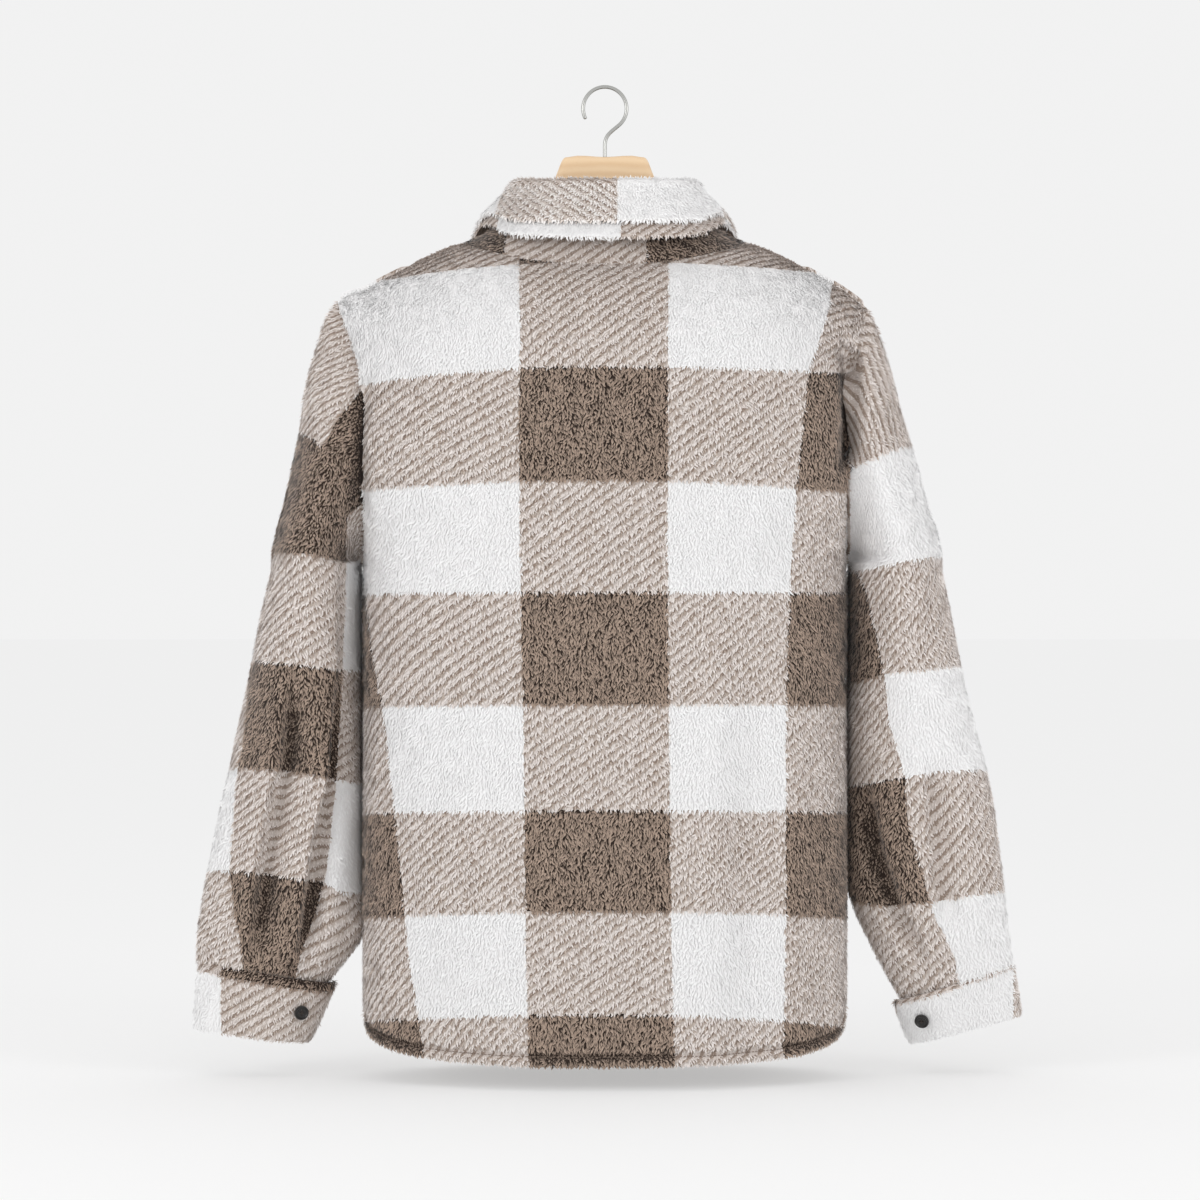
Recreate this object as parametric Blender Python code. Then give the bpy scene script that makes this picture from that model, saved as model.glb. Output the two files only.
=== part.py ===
"""Plush check shirt-jacket hanging on a wooden hanger, as closed solids.

Metres, +Z up.  The back of the jacket faces -Y and the wearer's left is -X.
The origin is the inside top of the hanger's hook, where a rail carries it.
Each cut piece is a wall of plush between an outer and an inner grid of points.
"""
from math import asin, cos, pi, radians, sin

import bpy
import numpy as np

# ---- driving dimensions -------------------------------------------------------
WALL = 0.0060             # knitted backing with its pile
COLLAR_WALL = 0.0045      # the collar and cuffs are pressed thinner
SEAM_GAP = 0.0003         # between pieces that are sewn together
LAP = 0.0165              # each front passes the centre line by this much
LAP_RISE = 0.0066         # the left front lies this far outside the right one
LAP_RAMP = (0.034, 0.066) # and comes down to its level between these breadths

HEM_CENTRE_Z = -0.8747    # shirt-tail hem at the centre of the back
HEM_SIDE_RISE = 0.0477    # and how much higher it is at the side seams
HEM_POWER = 3.3
UNDERARM_Z = -0.4277
TIP_Z = -0.1975           # shoulder tip, top of the armhole seam
TIP_X = 0.2400
ARMHOLE_HALF_DEPTH = 0.056
ARMHOLE_POWER = 0.7

NECK_HALF_WIDTH = 0.1300
NECK_SIDE_Z = -0.1385
NECK_DROP_BACK = 0.0231
NECK_DROP_FRONT = 0.0750
SHOULDER_ROUND = 0.105    # height over which the cloth rounds over the shoulder
RIDGE_SLOPE = 0.52
RIDGE_SOFT = 0.016        # softens the turn of the ridge at the neck
TIP_DROP = 0.006          # extra fall of the ridge in the last stretch to the tip
TIP_DROP_LENGTH = 0.045

NECK_STEP = 15            # degrees between the columns round the neck
SHOULDER_COLUMNS = 6
LOW_ROWS = 9              # rows between hem and underarm
ARM_ROWS = 16             # rows between underarm and shoulder tip

PIVOT_GAP = 0.008         # the sleeve turns down round a line this far below the underarm
PLEAT_ANGLES = (60, 102)  # round the sleeve from its inner edge over the back
PLEAT_HALF_WIDTH = 15
PLEAT_DEPTH = 0.0055
PLEAT_TOP_Z = -0.585
PLEAT_LENGTH = 0.17

CUFF_FLAP_END = -10       # degrees round the cuff, from its inner edge
CUFF_FLAP_RAMP = (62, 100)
CUFF_UNDER_END = 404
CUFF_STEP = 13.8
CUFF_ROWS = 3

BUTTON_RADIUS = 0.0066
BUTTON_THICK = 0.0032
BUTTON_EDGE = 0.0008
BUTTON_SIDES = 16
BUTTON_PROUD = 0.0004
FRONT_BUTTONS_Z = (-0.243, -0.345, -0.447, -0.549, -0.651, -0.753)

HOOK_INNER_RADIUS = 0.018
WIRE_RADIUS = 0.00175
WIRE_SIDES = 10
BLOCK_TOP_Z = -0.0620


def table(names, *rows):
    """A short table as named columns."""
    return dict(zip(names.split(), np.array(rows, dtype=float).T))


# Half breadth and depths of the torso, and how square its section is.
TORSO = table(
    "z breadth back front square",
    (-0.880, 0.2215, 0.117, 0.110, 2.5),
    (-0.700, 0.2215, 0.121, 0.114, 2.5),
    (-0.550, 0.2210, 0.123, 0.115, 2.6),
    (UNDERARM_Z, 0.2206, 0.121, 0.112, 2.9),
    (-0.395, 0.2190, 0.118, 0.108, 3.1),
    (-0.340, 0.2186, 0.113, 0.103, 3.2),
    (-0.275, 0.2190, 0.107, 0.098, 3.2),
    (-0.235, 0.2285, 0.104, 0.095, 3.1),
    (TIP_Z, TIP_X, 0.101, 0.093, 3.0),
    (-0.130, TIP_X, 0.097, 0.091, 2.8),
)
# Soft upright folds of the hanging cloth: place, half width, how far they stand out
# (or in), and where they start below.  The fronts have theirs on both halves.
FOLDS = table(
    "face x half_width rise top_z",
    (-1, 0.092, 0.024, 0.0035, -0.500),
    (-1, 0.136, 0.020, -0.0045, -0.480),
    (-1, -0.150, 0.032, -0.0035, -0.560),
    (-1, -0.060, 0.040, 0.0020, -0.620),
    (1, 0.080, 0.026, 0.0030, -0.540),
    (1, 0.135, 0.026, -0.0040, -0.500),
)
FOLD_FADE = 0.160         # height over which a fold comes to its full depth
# Reach of the sleeve's outer line from the pivot, as it turns from side to down.
SLEEVE_TURN = table(
    "angle reach",
    (0, 0.2382),
    (10, 0.1950),
    (21, 0.1450),
    (34, 0.1150),
    (48, 0.0975),
    (66, 0.0880),
    (90, 0.0832),
)
# Below the turn: outer and inner line of the sleeve, its centre and half depth.
SLEEVE_DOWN = {
    "left": table(
        "step outer_x outer_z inner_x inner_z mid_y half_depth",
        (0, 0.3038, -0.4357, 0.2286, -0.4357, 0.012, 0.0800),
        (1, 0.3256, -0.5548, 0.2246, -0.5560, 0.014, 0.0660),
        (2, 0.3421, -0.6455, 0.2242, -0.6480, 0.014, 0.0550),
        (3, 0.3602, -0.7073, 0.2242, -0.7140, 0.012, 0.0465),
        (4, 0.3690, -0.7530, 0.2290, -0.7680, 0.010, 0.0380),
        (5, 0.3718, -0.7905, 0.2480, -0.8113, 0.010, 0.0270),
    ),
    "right": table(
        "step outer_x outer_z inner_x inner_z mid_y half_depth",
        (0, 0.3038, -0.4357, 0.2286, -0.4357, 0.012, 0.0800),
        (1, 0.3278, -0.5548, 0.2246, -0.5560, 0.014, 0.0660),
        (2, 0.3487, -0.6455, 0.2242, -0.6480, 0.014, 0.0550),
        (3, 0.3596, -0.7100, 0.2260, -0.7250, 0.013, 0.0465),
        (4, 0.3650, -0.7540, 0.2430, -0.7780, 0.014, 0.0380),
        (5, 0.3749, -0.7953, 0.2671, -0.8290, 0.020, 0.0270),
    ),
}
DOWN_STEPS = {"left": 10, "right": 10}
# Lower edge of each cuff: its outer and inner corner, centre and half depth.
CUFF_HEM = {
    "left": dict(outer=(0.3757, -0.8525), inner=(0.2722, -0.8665), mid_y=0.010, half_depth=0.0260),
    "right": dict(outer=(0.3800, -0.8440), inner=(0.2830, -0.8700), mid_y=0.036, half_depth=0.0260),
}
CUFF_BUTTON_ANGLE = 46
CUFF_BUTTON_DROP = 0.50
CUFF_BUTTON_PROUD = 0.0005
# Collar by the angle round the neck: its roll line, the edge of the leaf, how far
# the under collar shows below that edge, and how far the stand bends inwards.
COLLAR = table(
    "angle roll_x roll_y roll_z edge_x edge_y edge_z drop sag",
    (0, 0.000, -0.050, -0.085, 0.000, -0.081, -0.125, 0.0150, 0.000),
    (45, 0.056, -0.034, -0.084, 0.078, -0.059, -0.122, 0.0130, 0.003),
    (90, 0.081, 0.004, -0.084, 0.110, 0.006, -0.1135, 0.0070, 0.008),
    (120, 0.074, 0.037, -0.103, 0.120, 0.058, -0.143, 0.0060, 0.006),
    (150, 0.044, 0.066, -0.138, 0.105, 0.105, -0.194, 0.0050, 0.003),
    (180, 0.006, 0.084, -0.170, 0.068, 0.126, -0.240, 0.0040, 0.000),
)
# The leaf over the roll line, from the inside of the stand: outward and upward.
ROLL = (
    (-0.0070, -0.0072),
    (-0.0066, -0.0034),
    (-0.0034, -0.0005),
    (0.0014, -0.0001),
    (0.0062, -0.0028),
    (0.0094, -0.0085),
)
LEAF_ROWS = 4
UNDER_START = 1           # first row of the leaf, below the roll, that the under collar follows
STAND_TOP_OUT = -0.0024
STAND_TOP_DOWN = -0.0088
STAND_LAP_DOWN = 0.0060   # the lapped ends of the stand are cut lower
LAP_FROM = 150
STAND_ROWS = 5
# Wooden hanger: top line, bottom line and half thickness from the centre outwards.
HANGER = table(
    "x top bottom half",
    (0.0000, -0.0620, -0.1180, 0.0090),
    (0.0330, -0.0620, -0.1195, 0.0090),
    (0.0372, -0.0632, -0.1215, 0.0090),
    (0.0395, -0.0665, -0.1230, 0.0090),
    (0.0418, -0.0725, -0.1250, 0.0090),
    (0.0460, -0.0830, -0.1290, 0.0090),
    (0.0540, -0.1010, -0.1370, 0.0092),
    (0.0680, -0.1220, -0.1490, 0.0095),
    (0.0880, -0.1385, -0.1600, 0.0098),
    (0.1120, -0.1452, -0.1670, 0.0100),
)
HANGER_ARM_X = (0.130, 0.150, 0.170, 0.190, 0.210)
HANGER_ARM_HEIGHT = 0.024
HANGER_ARM_HALF = (0.0105, 0.0120)
HANGER_CLEAR = 0.0016
HANGER_SQUARE = 0.75     # 1 is an ellipse, 0 a rectangle
HANGER_SIDES = 12

FINISH = {
    "plush_check": ((0.56, 0.48, 0.43), 0.95, 0.0),
    "plush_white": ((0.83, 0.82, 0.80), 0.95, 0.0),
    "plush_brown": ((0.20, 0.14, 0.11), 0.95, 0.0),
    "button_resin": ((0.02, 0.016, 0.014), 0.35, 0.0),
    "beech": ((0.76, 0.55, 0.37), 0.50, 0.0),
    "steel_wire": ((0.62, 0.62, 0.62), 0.25, 1.0),
}


# ---- curves and surfaces ------------------------------------------------------
def ease(share):
    """A soft step from 0 to 1."""
    share = np.clip(share, 0.0, 1.0)
    return share * share * (3.0 - 2.0 * share)


def read(columns, name, at):
    """A column of a table at the places `at` of its first column, on a smooth curve."""
    stations = next(iter(columns.values()))
    values = columns[name]
    slopes = np.gradient(values, stations)
    at = np.clip(at, stations[0], stations[-1])
    low = np.clip(np.searchsorted(stations, at) - 1, 0, len(stations) - 2)
    span = stations[low + 1] - stations[low]
    s = (at - stations[low]) / span
    start = values[low] * (1 + 2 * s) * (1 - s) ** 2 + slopes[low] * span * s * (1 - s) ** 2
    end = values[low + 1] * s * s * (3 - 2 * s) + slopes[low + 1] * span * s * s * (s - 1)
    return start + end


def ridge_z(x):
    """Height of the shoulder line, over which the back and the fronts meet."""
    def fall(at):
        return RIDGE_SLOPE * RIDGE_SOFT * np.log1p(np.exp((at - NECK_HALF_WIDTH) / RIDGE_SOFT))

    x = np.abs(x)
    tip = TIP_DROP * np.clip(1 - (TIP_X - x) / TIP_DROP_LENGTH, 0, None) ** 2
    scale = (NECK_SIDE_Z - TIP_Z - TIP_DROP) / (fall(TIP_X) - fall(NECK_HALF_WIDTH))
    return NECK_SIDE_Z - scale * (fall(x) - fall(NECK_HALF_WIDTH)) - tip


def top_z(x, face):
    """Top edge of a panel: the shoulder line, and the neckline between its ends."""
    share = np.clip(np.abs(x) / NECK_HALF_WIDTH, 0, 1)
    if face < 0:
        dip = NECK_DROP_BACK * (1 - share**2.5)
    else:
        dip = NECK_DROP_FRONT * (1 - share**2.4) ** 0.8
    return np.where(np.abs(x) < NECK_HALF_WIDTH, NECK_SIDE_Z - dip, ridge_z(x))


def rounding(depth_below):
    """Share of the full depth at a distance below the shoulder line."""
    share = np.clip(depth_below / SHOULDER_ROUND, 0, 1)
    return np.sqrt(1 - (1 - share) ** 2)


def armhole_depth(z):
    """Half depth of the armhole at a height: zero at the underarm and the tip."""
    rise = np.clip((z - UNDERARM_Z) / (TIP_Z - UNDERARM_Z), 0, 1)
    return ARMHOLE_HALF_DEPTH * np.sin(pi * rise) ** ARMHOLE_POWER


def torso_points(a, z, face):
    """Outer points of the back (face -1) or the fronts (face 1).

    a runs from 0 at the centre to 1 at the side seam or the armhole.
    """
    breadth = read(TORSO, "breadth", z)
    depth = read(TORSO, "back" if face < 0 else "front", z)
    square = read(TORSO, "square", z)
    x = breadth * np.sin(a * pi / 2)
    side_depth = depth * rounding(ridge_z(breadth) - z) + 1e-9
    opened = np.clip(armhole_depth(z) / side_depth, 0, 0.98)
    widest = (1 - opened**2) ** (1 / square)
    section = (1 - np.clip(np.abs(np.sin(a * pi / 2)) * widest, 0, 1) ** square) ** 0.5
    y = face * (depth * rounding(ridge_z(x) - z) + fold_rise(x, z, face)) * section
    return np.stack([x, y, z], axis=-1)


def fold_rise(x, z, face):
    """How far the folds of the back or of the fronts stand out at a place."""
    total = 0.0
    for row in zip(*FOLDS.values()):
        fold_face, middle, half_width, rise, top = row
        if fold_face == face:
            across = np.exp(-(((x - middle) / half_width) ** 2))
            total = total + rise * across * ease((top - z) / FOLD_FADE)
    return total


def neck_column(angle):
    """The panel column that meets the neckline at an angle round the neck."""
    return 2 / pi * asin(NECK_HALF_WIDTH / TIP_X * sin(radians(angle)))


def row_shares():
    """Heights of the rows of every torso panel, as shares of the side's height."""
    side_hem = HEM_CENTRE_Z + HEM_SIDE_RISE
    low = np.linspace(side_hem, UNDERARM_Z, LOW_ROWS + 1)
    turn = np.linspace(0, pi, ARM_ROWS + 1)[1:]
    high = UNDERARM_Z + (TIP_Z - UNDERARM_Z) * (1 - np.cos(turn)) / 2
    rows = np.concatenate([low, high])
    return (rows - side_hem) / (TIP_Z - side_hem)


def panel_grid(columns, face):
    """Outer grid of a torso panel with the given columns."""
    a = np.asarray(columns)[None, :]
    share = row_shares()[:, None]
    hem = HEM_CENTRE_Z + HEM_SIDE_RISE * np.abs(a) ** HEM_POWER
    top = top_z(TIP_X * np.sin(a * pi / 2), face)
    return torso_points(a + 0 * share, hem + (top - hem) * share, face)


def normals(grid, closed=False):
    """Unit normals of a grid of points, towards the side where columns run
    anticlockwise as the rows rise."""
    if closed:
        wrapped = np.concatenate([grid[:, -1:], grid, grid[:, :1]], axis=1)
        across = np.gradient(wrapped, axis=1)[:, 1:-1]
    else:
        across = np.gradient(grid, axis=1)
    up = np.gradient(grid, axis=0)
    facing = np.cross(across, up)
    return facing / np.linalg.norm(facing, axis=-1, keepdims=True)


def keep_side(points, face):
    """Hold a panel's points on its own side of the side and shoulder seams."""
    points[..., 1] = face * np.maximum(face * points[..., 1], SEAM_GAP / 2)
    return points


# ---- solids -------------------------------------------------------------------
def add_solid(name, points, triangles, finish):
    """An object with one closed body, its faces pointing out."""
    points = np.asarray(points, dtype=float)
    triangles = np.asarray(triangles, dtype=int)
    a, b, c = (points[triangles[:, k]] for k in range(3))
    if np.einsum("ij,ij->", a, np.cross(b, c)) < 0:
        triangles = triangles[:, ::-1]
    mesh = bpy.data.meshes.new(name)
    mesh.from_pydata(points.tolist(), [], triangles.tolist())
    mesh.shade_smooth()
    mesh.set_sharp_from_angle(angle=radians(40))
    mesh.materials.append(material(finish))
    thing = bpy.data.objects.new(name, mesh)
    bpy.context.scene.collection.objects.link(thing)
    return thing


def shell(name, outer, inner, finish, closed=False):
    """The wall between two grids; `closed` joins the last column to the first."""
    rows, columns = outer.shape[:2]
    number = np.arange(rows * columns).reshape(rows, columns)
    if closed:
        number = np.concatenate([number, number[:, :1]], axis=1)
    a, b = number[:-1, :-1].ravel(), number[:-1, 1:].ravel()
    d, c = number[1:, :-1].ravel(), number[1:, 1:].ravel()
    sheet = np.concatenate([np.stack([a, b, c], 1), np.stack([a, c, d], 1)])
    count = rows * columns
    faces = [sheet, sheet[:, ::-1] + count]
    rims = [number[0], number[-1][::-1]]
    if not closed:
        rims += [number[::-1, 0], number[:, -1]]
    for rim in rims:
        p, q = rim[:-1], rim[1:]
        faces.append(np.stack([q, p, p + count], 1))
        faces.append(np.stack([q, p + count, q + count], 1))
    points = np.concatenate([outer.reshape(-1, 3), inner.reshape(-1, 3)])
    return add_solid(name, points, np.concatenate(faces), finish)


def loft(name, rings, finish):
    """A solid through closed rings of points, with flat ends."""
    rings = np.asarray(rings)
    rows, columns = rings.shape[:2]
    number = np.arange(rows * columns).reshape(rows, columns)
    after = np.roll(number, -1, axis=1)
    a, b = number[:-1].ravel(), after[:-1].ravel()
    d, c = number[1:].ravel(), after[1:].ravel()
    faces = [np.stack([a, b, c], 1), np.stack([a, c, d], 1)]
    ends = [rings[0].mean(axis=0), rings[-1].mean(axis=0)]
    first, last = rows * columns, rows * columns + 1
    faces.append(np.stack([after[0], number[0], np.full(columns, first)], 1))
    faces.append(np.stack([number[-1], after[-1], np.full(columns, last)], 1))
    points = np.concatenate([rings.reshape(-1, 3), ends])
    return add_solid(name, points, np.concatenate(faces), finish)


def material(finish):
    """The finish as a Principled material, made once."""
    found = bpy.data.materials.get(finish)
    if found:
        return found
    colour, rough, metal = FINISH[finish]
    made = bpy.data.materials.new(finish)
    made.use_nodes = True
    shader = made.node_tree.nodes["Principled BSDF"]
    shader.inputs["Base Color"].default_value = (*colour, 1.0)
    shader.inputs["Roughness"].default_value = rough
    shader.inputs["Metallic"].default_value = metal
    return made


# ---- torso --------------------------------------------------------------------
def shoulder_columns():
    """Panel columns from the neck side out to the armhole."""
    return np.linspace(neck_column(90), 1.0, SHOULDER_COLUMNS + 1)[1:]


def build_back():
    """The back, cut in one from side seam to side seam."""
    neck = [neck_column(angle) for angle in range(0, 91, NECK_STEP)]
    half = np.concatenate([neck, shoulder_columns()])
    outer = panel_grid(np.concatenate([-half[:0:-1], half]), -1)
    inner = outer - WALL * normals(outer)
    return shell("back", keep_side(outer, -1), keep_side(inner, -1), "plush_check")


def front_grids(side):
    """Outer and inner grid of one front, from its lapped edge to its side seam."""
    lapped = -2 / pi * asin(LAP / TIP_X)
    neck = [neck_column(angle) for angle in range(0, 91, NECK_STEP)]
    outer = panel_grid(np.concatenate([[lapped], neck, shoulder_columns()]), 1)
    facing = -normals(outer)
    if side == "left":
        near, far = LAP_RAMP
        share = ease((far - outer[..., 0]) / (far - near))[..., None]
        outer = outer + facing * LAP_RISE * share
        facing = -normals(outer)
    inner = outer - WALL * facing
    outer, inner = keep_side(outer, 1), keep_side(inner, 1)
    if side == "left":
        outer[..., 0] *= -1
        inner[..., 0] *= -1
    return outer, inner


def build_fronts():
    """Two fronts; the left one laps over the right one at the centre."""
    for side in ("left", "right"):
        outer, inner = front_grids(side)
        shell(f"front_{side}", outer, inner, "plush_check")


# ---- sleeves and cuffs --------------------------------------------------------
def ring_angles():
    """Angles round a sleeve from its inner edge, over the back and the front."""
    return np.linspace(0, 2 * pi, 2 * ARM_ROWS, endpoint=False)


def turn_ring(angle):
    """A ring of the sleeve where it turns from the armhole to hang down."""
    theta = ring_angles()
    rise = (1 - np.cos(theta)) / 2
    height = UNDERARM_Z + (TIP_Z - UNDERARM_Z) * rise
    behind = -np.sign(np.sin(theta) + 1e-12)
    blend = sin(radians(angle))
    reach = PIVOT_GAP + (read(SLEEVE_TURN, "reach", angle) - PIVOT_GAP) * rise
    arm_y = behind * armhole_depth(height)
    down = {name: column[0] for name, column in SLEEVE_DOWN["left"].items()}
    round_y = down["mid_y"] - down["half_depth"] * np.sin(theta)
    y = (1 - blend) * arm_y + blend * round_y
    aside = (read(TORSO, "breadth", height) - read(TORSO, "breadth", UNDERARM_Z)) * (1 - blend) ** 2
    out, up = sin(radians(angle)), cos(radians(angle))
    x = read(TORSO, "breadth", UNDERARM_Z) + reach * out + aside * up
    z = UNDERARM_Z - PIVOT_GAP + reach * up - aside * out
    return np.stack([x, y, z], axis=-1)


def oval(outer, inner, mid_y, half_depth, theta, swell=0.0):
    """Points of an oval whose long axis runs from `inner` to `outer` in the XZ plane."""
    outer, inner = np.array(outer), np.array(inner)
    middle = (outer + inner) / 2
    half = np.linalg.norm(outer - inner) / 2
    along = (outer - inner) / (2 * half)
    across = -np.cos(theta)
    back = np.sin(theta)
    normal_a, normal_b = across / half, back / half_depth
    size = np.hypot(normal_a, normal_b)
    a = half * across + swell * normal_a / size
    b = half_depth * back + swell * normal_b / size
    return np.stack([middle[0] + along[0] * a, mid_y - b, middle[1] + along[1] * a], axis=-1)


def down_ring(side, step, inset=0.0):
    """A ring of the hanging sleeve, with the troughs of its pleats."""
    rows = {name: read(SLEEVE_DOWN[side], name, step) for name in SLEEVE_DOWN[side]}
    theta = ring_angles()
    strength = ease((PLEAT_TOP_Z - rows["outer_z"]) / PLEAT_LENGTH)
    trough = np.zeros_like(theta)
    for angle in PLEAT_ANGLES:
        trough += np.exp(-(((np.degrees(theta) - angle) / PLEAT_HALF_WIDTH) ** 2))
    return oval(
        (rows["outer_x"], rows["outer_z"]),
        (rows["inner_x"], rows["inner_z"]),
        rows["mid_y"],
        rows["half_depth"],
        theta,
        -PLEAT_DEPTH * strength * trough - inset,
    )


def sleeve_grids(side):
    """Outer and inner grid of a sleeve, from the armhole down to the cuff seam."""
    turning = [turn_ring(angle) for angle in SLEEVE_TURN["angle"]]
    steps = np.linspace(0, SLEEVE_DOWN[side]["step"][-1], DOWN_STEPS[side] + 1)[1:]
    outer = np.array(turning + [down_ring(side, step) for step in steps])
    centre = np.array([0.0, 0.0, (UNDERARM_Z + TIP_Z) / 2])
    inward = centre - outer[0]
    inward[:, 0] = 0.0
    inward[:, 1:] /= np.array([ARMHOLE_HALF_DEPTH, (TIP_Z - UNDERARM_Z) / 2]) ** 2
    inward /= np.linalg.norm(inward, axis=1, keepdims=True)
    inner = outer + WALL * normals(outer, closed=True)
    inner[0] = outer[0] + WALL * inward
    outer[0] += SEAM_GAP * inward
    inner[0] += SEAM_GAP * inward
    outer[0, :, 0] += SEAM_GAP
    inner[0, :, 0] += SEAM_GAP
    inner[-1] = down_ring(side, steps[-1], WALL)
    lift = np.array([0.0, 0.0, SEAM_GAP * 1.3])
    outer[-1] += lift
    inner[-1] += lift
    return outer, inner


def cuff_ring(side, share, theta, swell):
    """Points round a cuff at a share of its depth, moved out by `swell`."""
    seam = {name: column[-1] for name, column in SLEEVE_DOWN[side].items()}
    hem = CUFF_HEM[side]
    corners = [
        (1 - share) * np.array([seam[f"{end}_x"], seam[f"{end}_z"]]) + share * np.array(hem[end])
        for end in ("outer", "inner")
    ]
    mid_y = (1 - share) * seam["mid_y"] + share * hem["mid_y"]
    half_depth = (1 - share) * seam["half_depth"] + share * hem["half_depth"]
    return oval(*corners, mid_y, half_depth, theta, swell)


def cuff_grids(side):
    """Outer and inner grid of a cuff, wound once round with its end lapped."""
    theta = np.radians(np.arange(CUFF_FLAP_END, CUFF_UNDER_END, CUFF_STEP))
    low, high = np.radians(CUFF_FLAP_RAMP)
    raised = LAP_RISE * (1 - ease((theta - low) / (high - low)))
    shares = np.linspace(0, 1, CUFF_ROWS)
    outer = [cuff_ring(side, share, theta, raised) for share in shares]
    inner = [cuff_ring(side, share, theta, raised - COLLAR_WALL) for share in shares]
    return np.array(outer), np.array(inner)


def build_sleeves():
    """Both sleeves and cuffs; the left ones are at -X."""
    for side, sign in (("left", -1), ("right", 1)):
        mirror = np.array([sign, 1, 1])
        outer, inner = sleeve_grids(side)
        shell(f"sleeve_{side}", outer * mirror, inner * mirror, "plush_check", closed=True)
        outer, inner = cuff_grids(side)
        shell(f"cuff_{side}", outer * mirror, inner * mirror, "plush_white")


# ---- collar -------------------------------------------------------------------
def collar_frame(angle):
    """Roll line, leaf edge and outward direction at an angle from the centre back."""
    side = -1 if angle < 0 else 1
    at = min(abs(angle), 180)
    row = {name: float(read(COLLAR, name, at)) for name in COLLAR}
    roll = np.array([side * row["roll_x"], row["roll_y"], row["roll_z"]])
    edge = np.array([side * row["edge_x"], row["edge_y"], row["edge_z"]])
    near, far = max(at - 8, -8), min(at + 8, 180)
    run_x = read_even(COLLAR, "roll_x", far, -1) - read_even(COLLAR, "roll_x", near, -1)
    run_y = read_even(COLLAR, "roll_y", far, 1) - read_even(COLLAR, "roll_y", near, 1)
    outward = np.array([side * run_y, -run_x, 0.0])
    return roll, edge, outward / np.linalg.norm(outward), row


def read_even(columns, name, at, parity):
    """A column of the collar table, carried past the centre back."""
    return float(read(columns, name, abs(at))) * (parity if at < 0 else 1)


def build_stand(neck):
    """The collar stand, from the neckline up to just under the roll line."""
    outer = []
    for angle, base in neck:
        roll, _, outward, row = collar_frame(angle)
        top = roll + outward * STAND_TOP_OUT
        lapping = ease((abs(angle) - LAP_FROM) / NECK_STEP)
        top[2] += STAND_TOP_DOWN - STAND_LAP_DOWN * lapping
        if abs(angle) >= 180:
            top[0] = base[0]
        if abs(angle) > LAP_FROM:
            outward = np.array([0.0, 1.0, 0.0])
        if angle < 0:
            top += outward * 1.2 * LAP_RISE * lapping
        shares = np.linspace(0, 1, STAND_ROWS)[:, None]
        rise = top - base
        lean = outward * rise[2] - np.array([0.0, 0.0, 1.0]) * (rise @ outward)
        lean /= np.linalg.norm(lean)
        bend = 4 * shares * (1 - shares) * row["sag"]
        outer.append(base + rise * shares - lean * bend)
    outer = np.array(outer).transpose(1, 0, 2)
    facing = normals(outer)
    facing[0, :, 2] = 0.0
    facing[0] /= np.linalg.norm(facing[0], axis=1, keepdims=True)
    shell("collar_stand", outer, outer - COLLAR_WALL * facing, "plush_brown")


def build_leaf():
    """The turned-down leaf: the top collar, and the under collar inside it."""
    angles = np.arange(-180, 181, NECK_STEP)
    top, under = [], []
    for angle in angles:
        roll, edge, outward, row = collar_frame(angle)
        lift = np.array([0.0, 0.0, 1.0])
        path = [roll + outward * out + lift * up for out, up in ROLL]
        fall = edge - path[-1]
        rows = [path[-1] + fall * share for share in np.linspace(0, 1, LEAF_ROWS + 1)[1:]]
        top.append(path + rows)
        below = [edge + fall / np.linalg.norm(fall) * row["drop"]]
        under.append(rows[UNDER_START - 1:] + below)
    top = np.array(top).transpose(1, 0, 2)
    under = np.array(under).transpose(1, 0, 2)
    shell("collar_fall", top, top - COLLAR_WALL * leaf_normals(top), "plush_white")
    facing = leaf_normals(under)
    near, far = COLLAR_WALL + SEAM_GAP, 2 * COLLAR_WALL + SEAM_GAP
    shell("collar_under", under - near * facing, under - far * facing, "plush_check")


def leaf_normals(grid):
    """Outward normals of the leaf, whose rows run downwards on the outside."""
    return -normals(grid)


def build_collar():
    """The stand on the neckline, and the leaf over it."""
    left_outer, _ = front_grids("left")
    right_outer, _ = front_grids("right")
    back = panel_grid([neck_column(angle) for angle in range(0, 91, NECK_STEP)], -1)[-1]
    lap_angle = 180 + np.degrees(asin(LAP / NECK_HALF_WIDTH))
    front_angles = [lap_angle] + list(range(180, 89, -NECK_STEP))
    count = len(front_angles)
    left = [(-angle, point) for angle, point in zip(front_angles, left_outer[-1][:count])]
    right = [(angle, point) for angle, point in zip(front_angles, right_outer[-1][:count])]
    mirror = np.array([-1, 1, 1])
    behind_left = [(-a, back[k] * mirror) for k, a in enumerate(range(0, 90, NECK_STEP))][::-1]
    behind_right = [(a, back[k]) for k, a in enumerate(range(0, 90, NECK_STEP))][1:]
    ring = left + behind_left + behind_right + right[::-1]
    lifted = []
    for angle, base in ring:
        roll = collar_frame(angle)[0]
        rise = roll - base
        lifted.append((angle, base + rise / np.linalg.norm(rise) * 2 * SEAM_GAP))
    build_stand(lifted)
    build_leaf()


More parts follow.
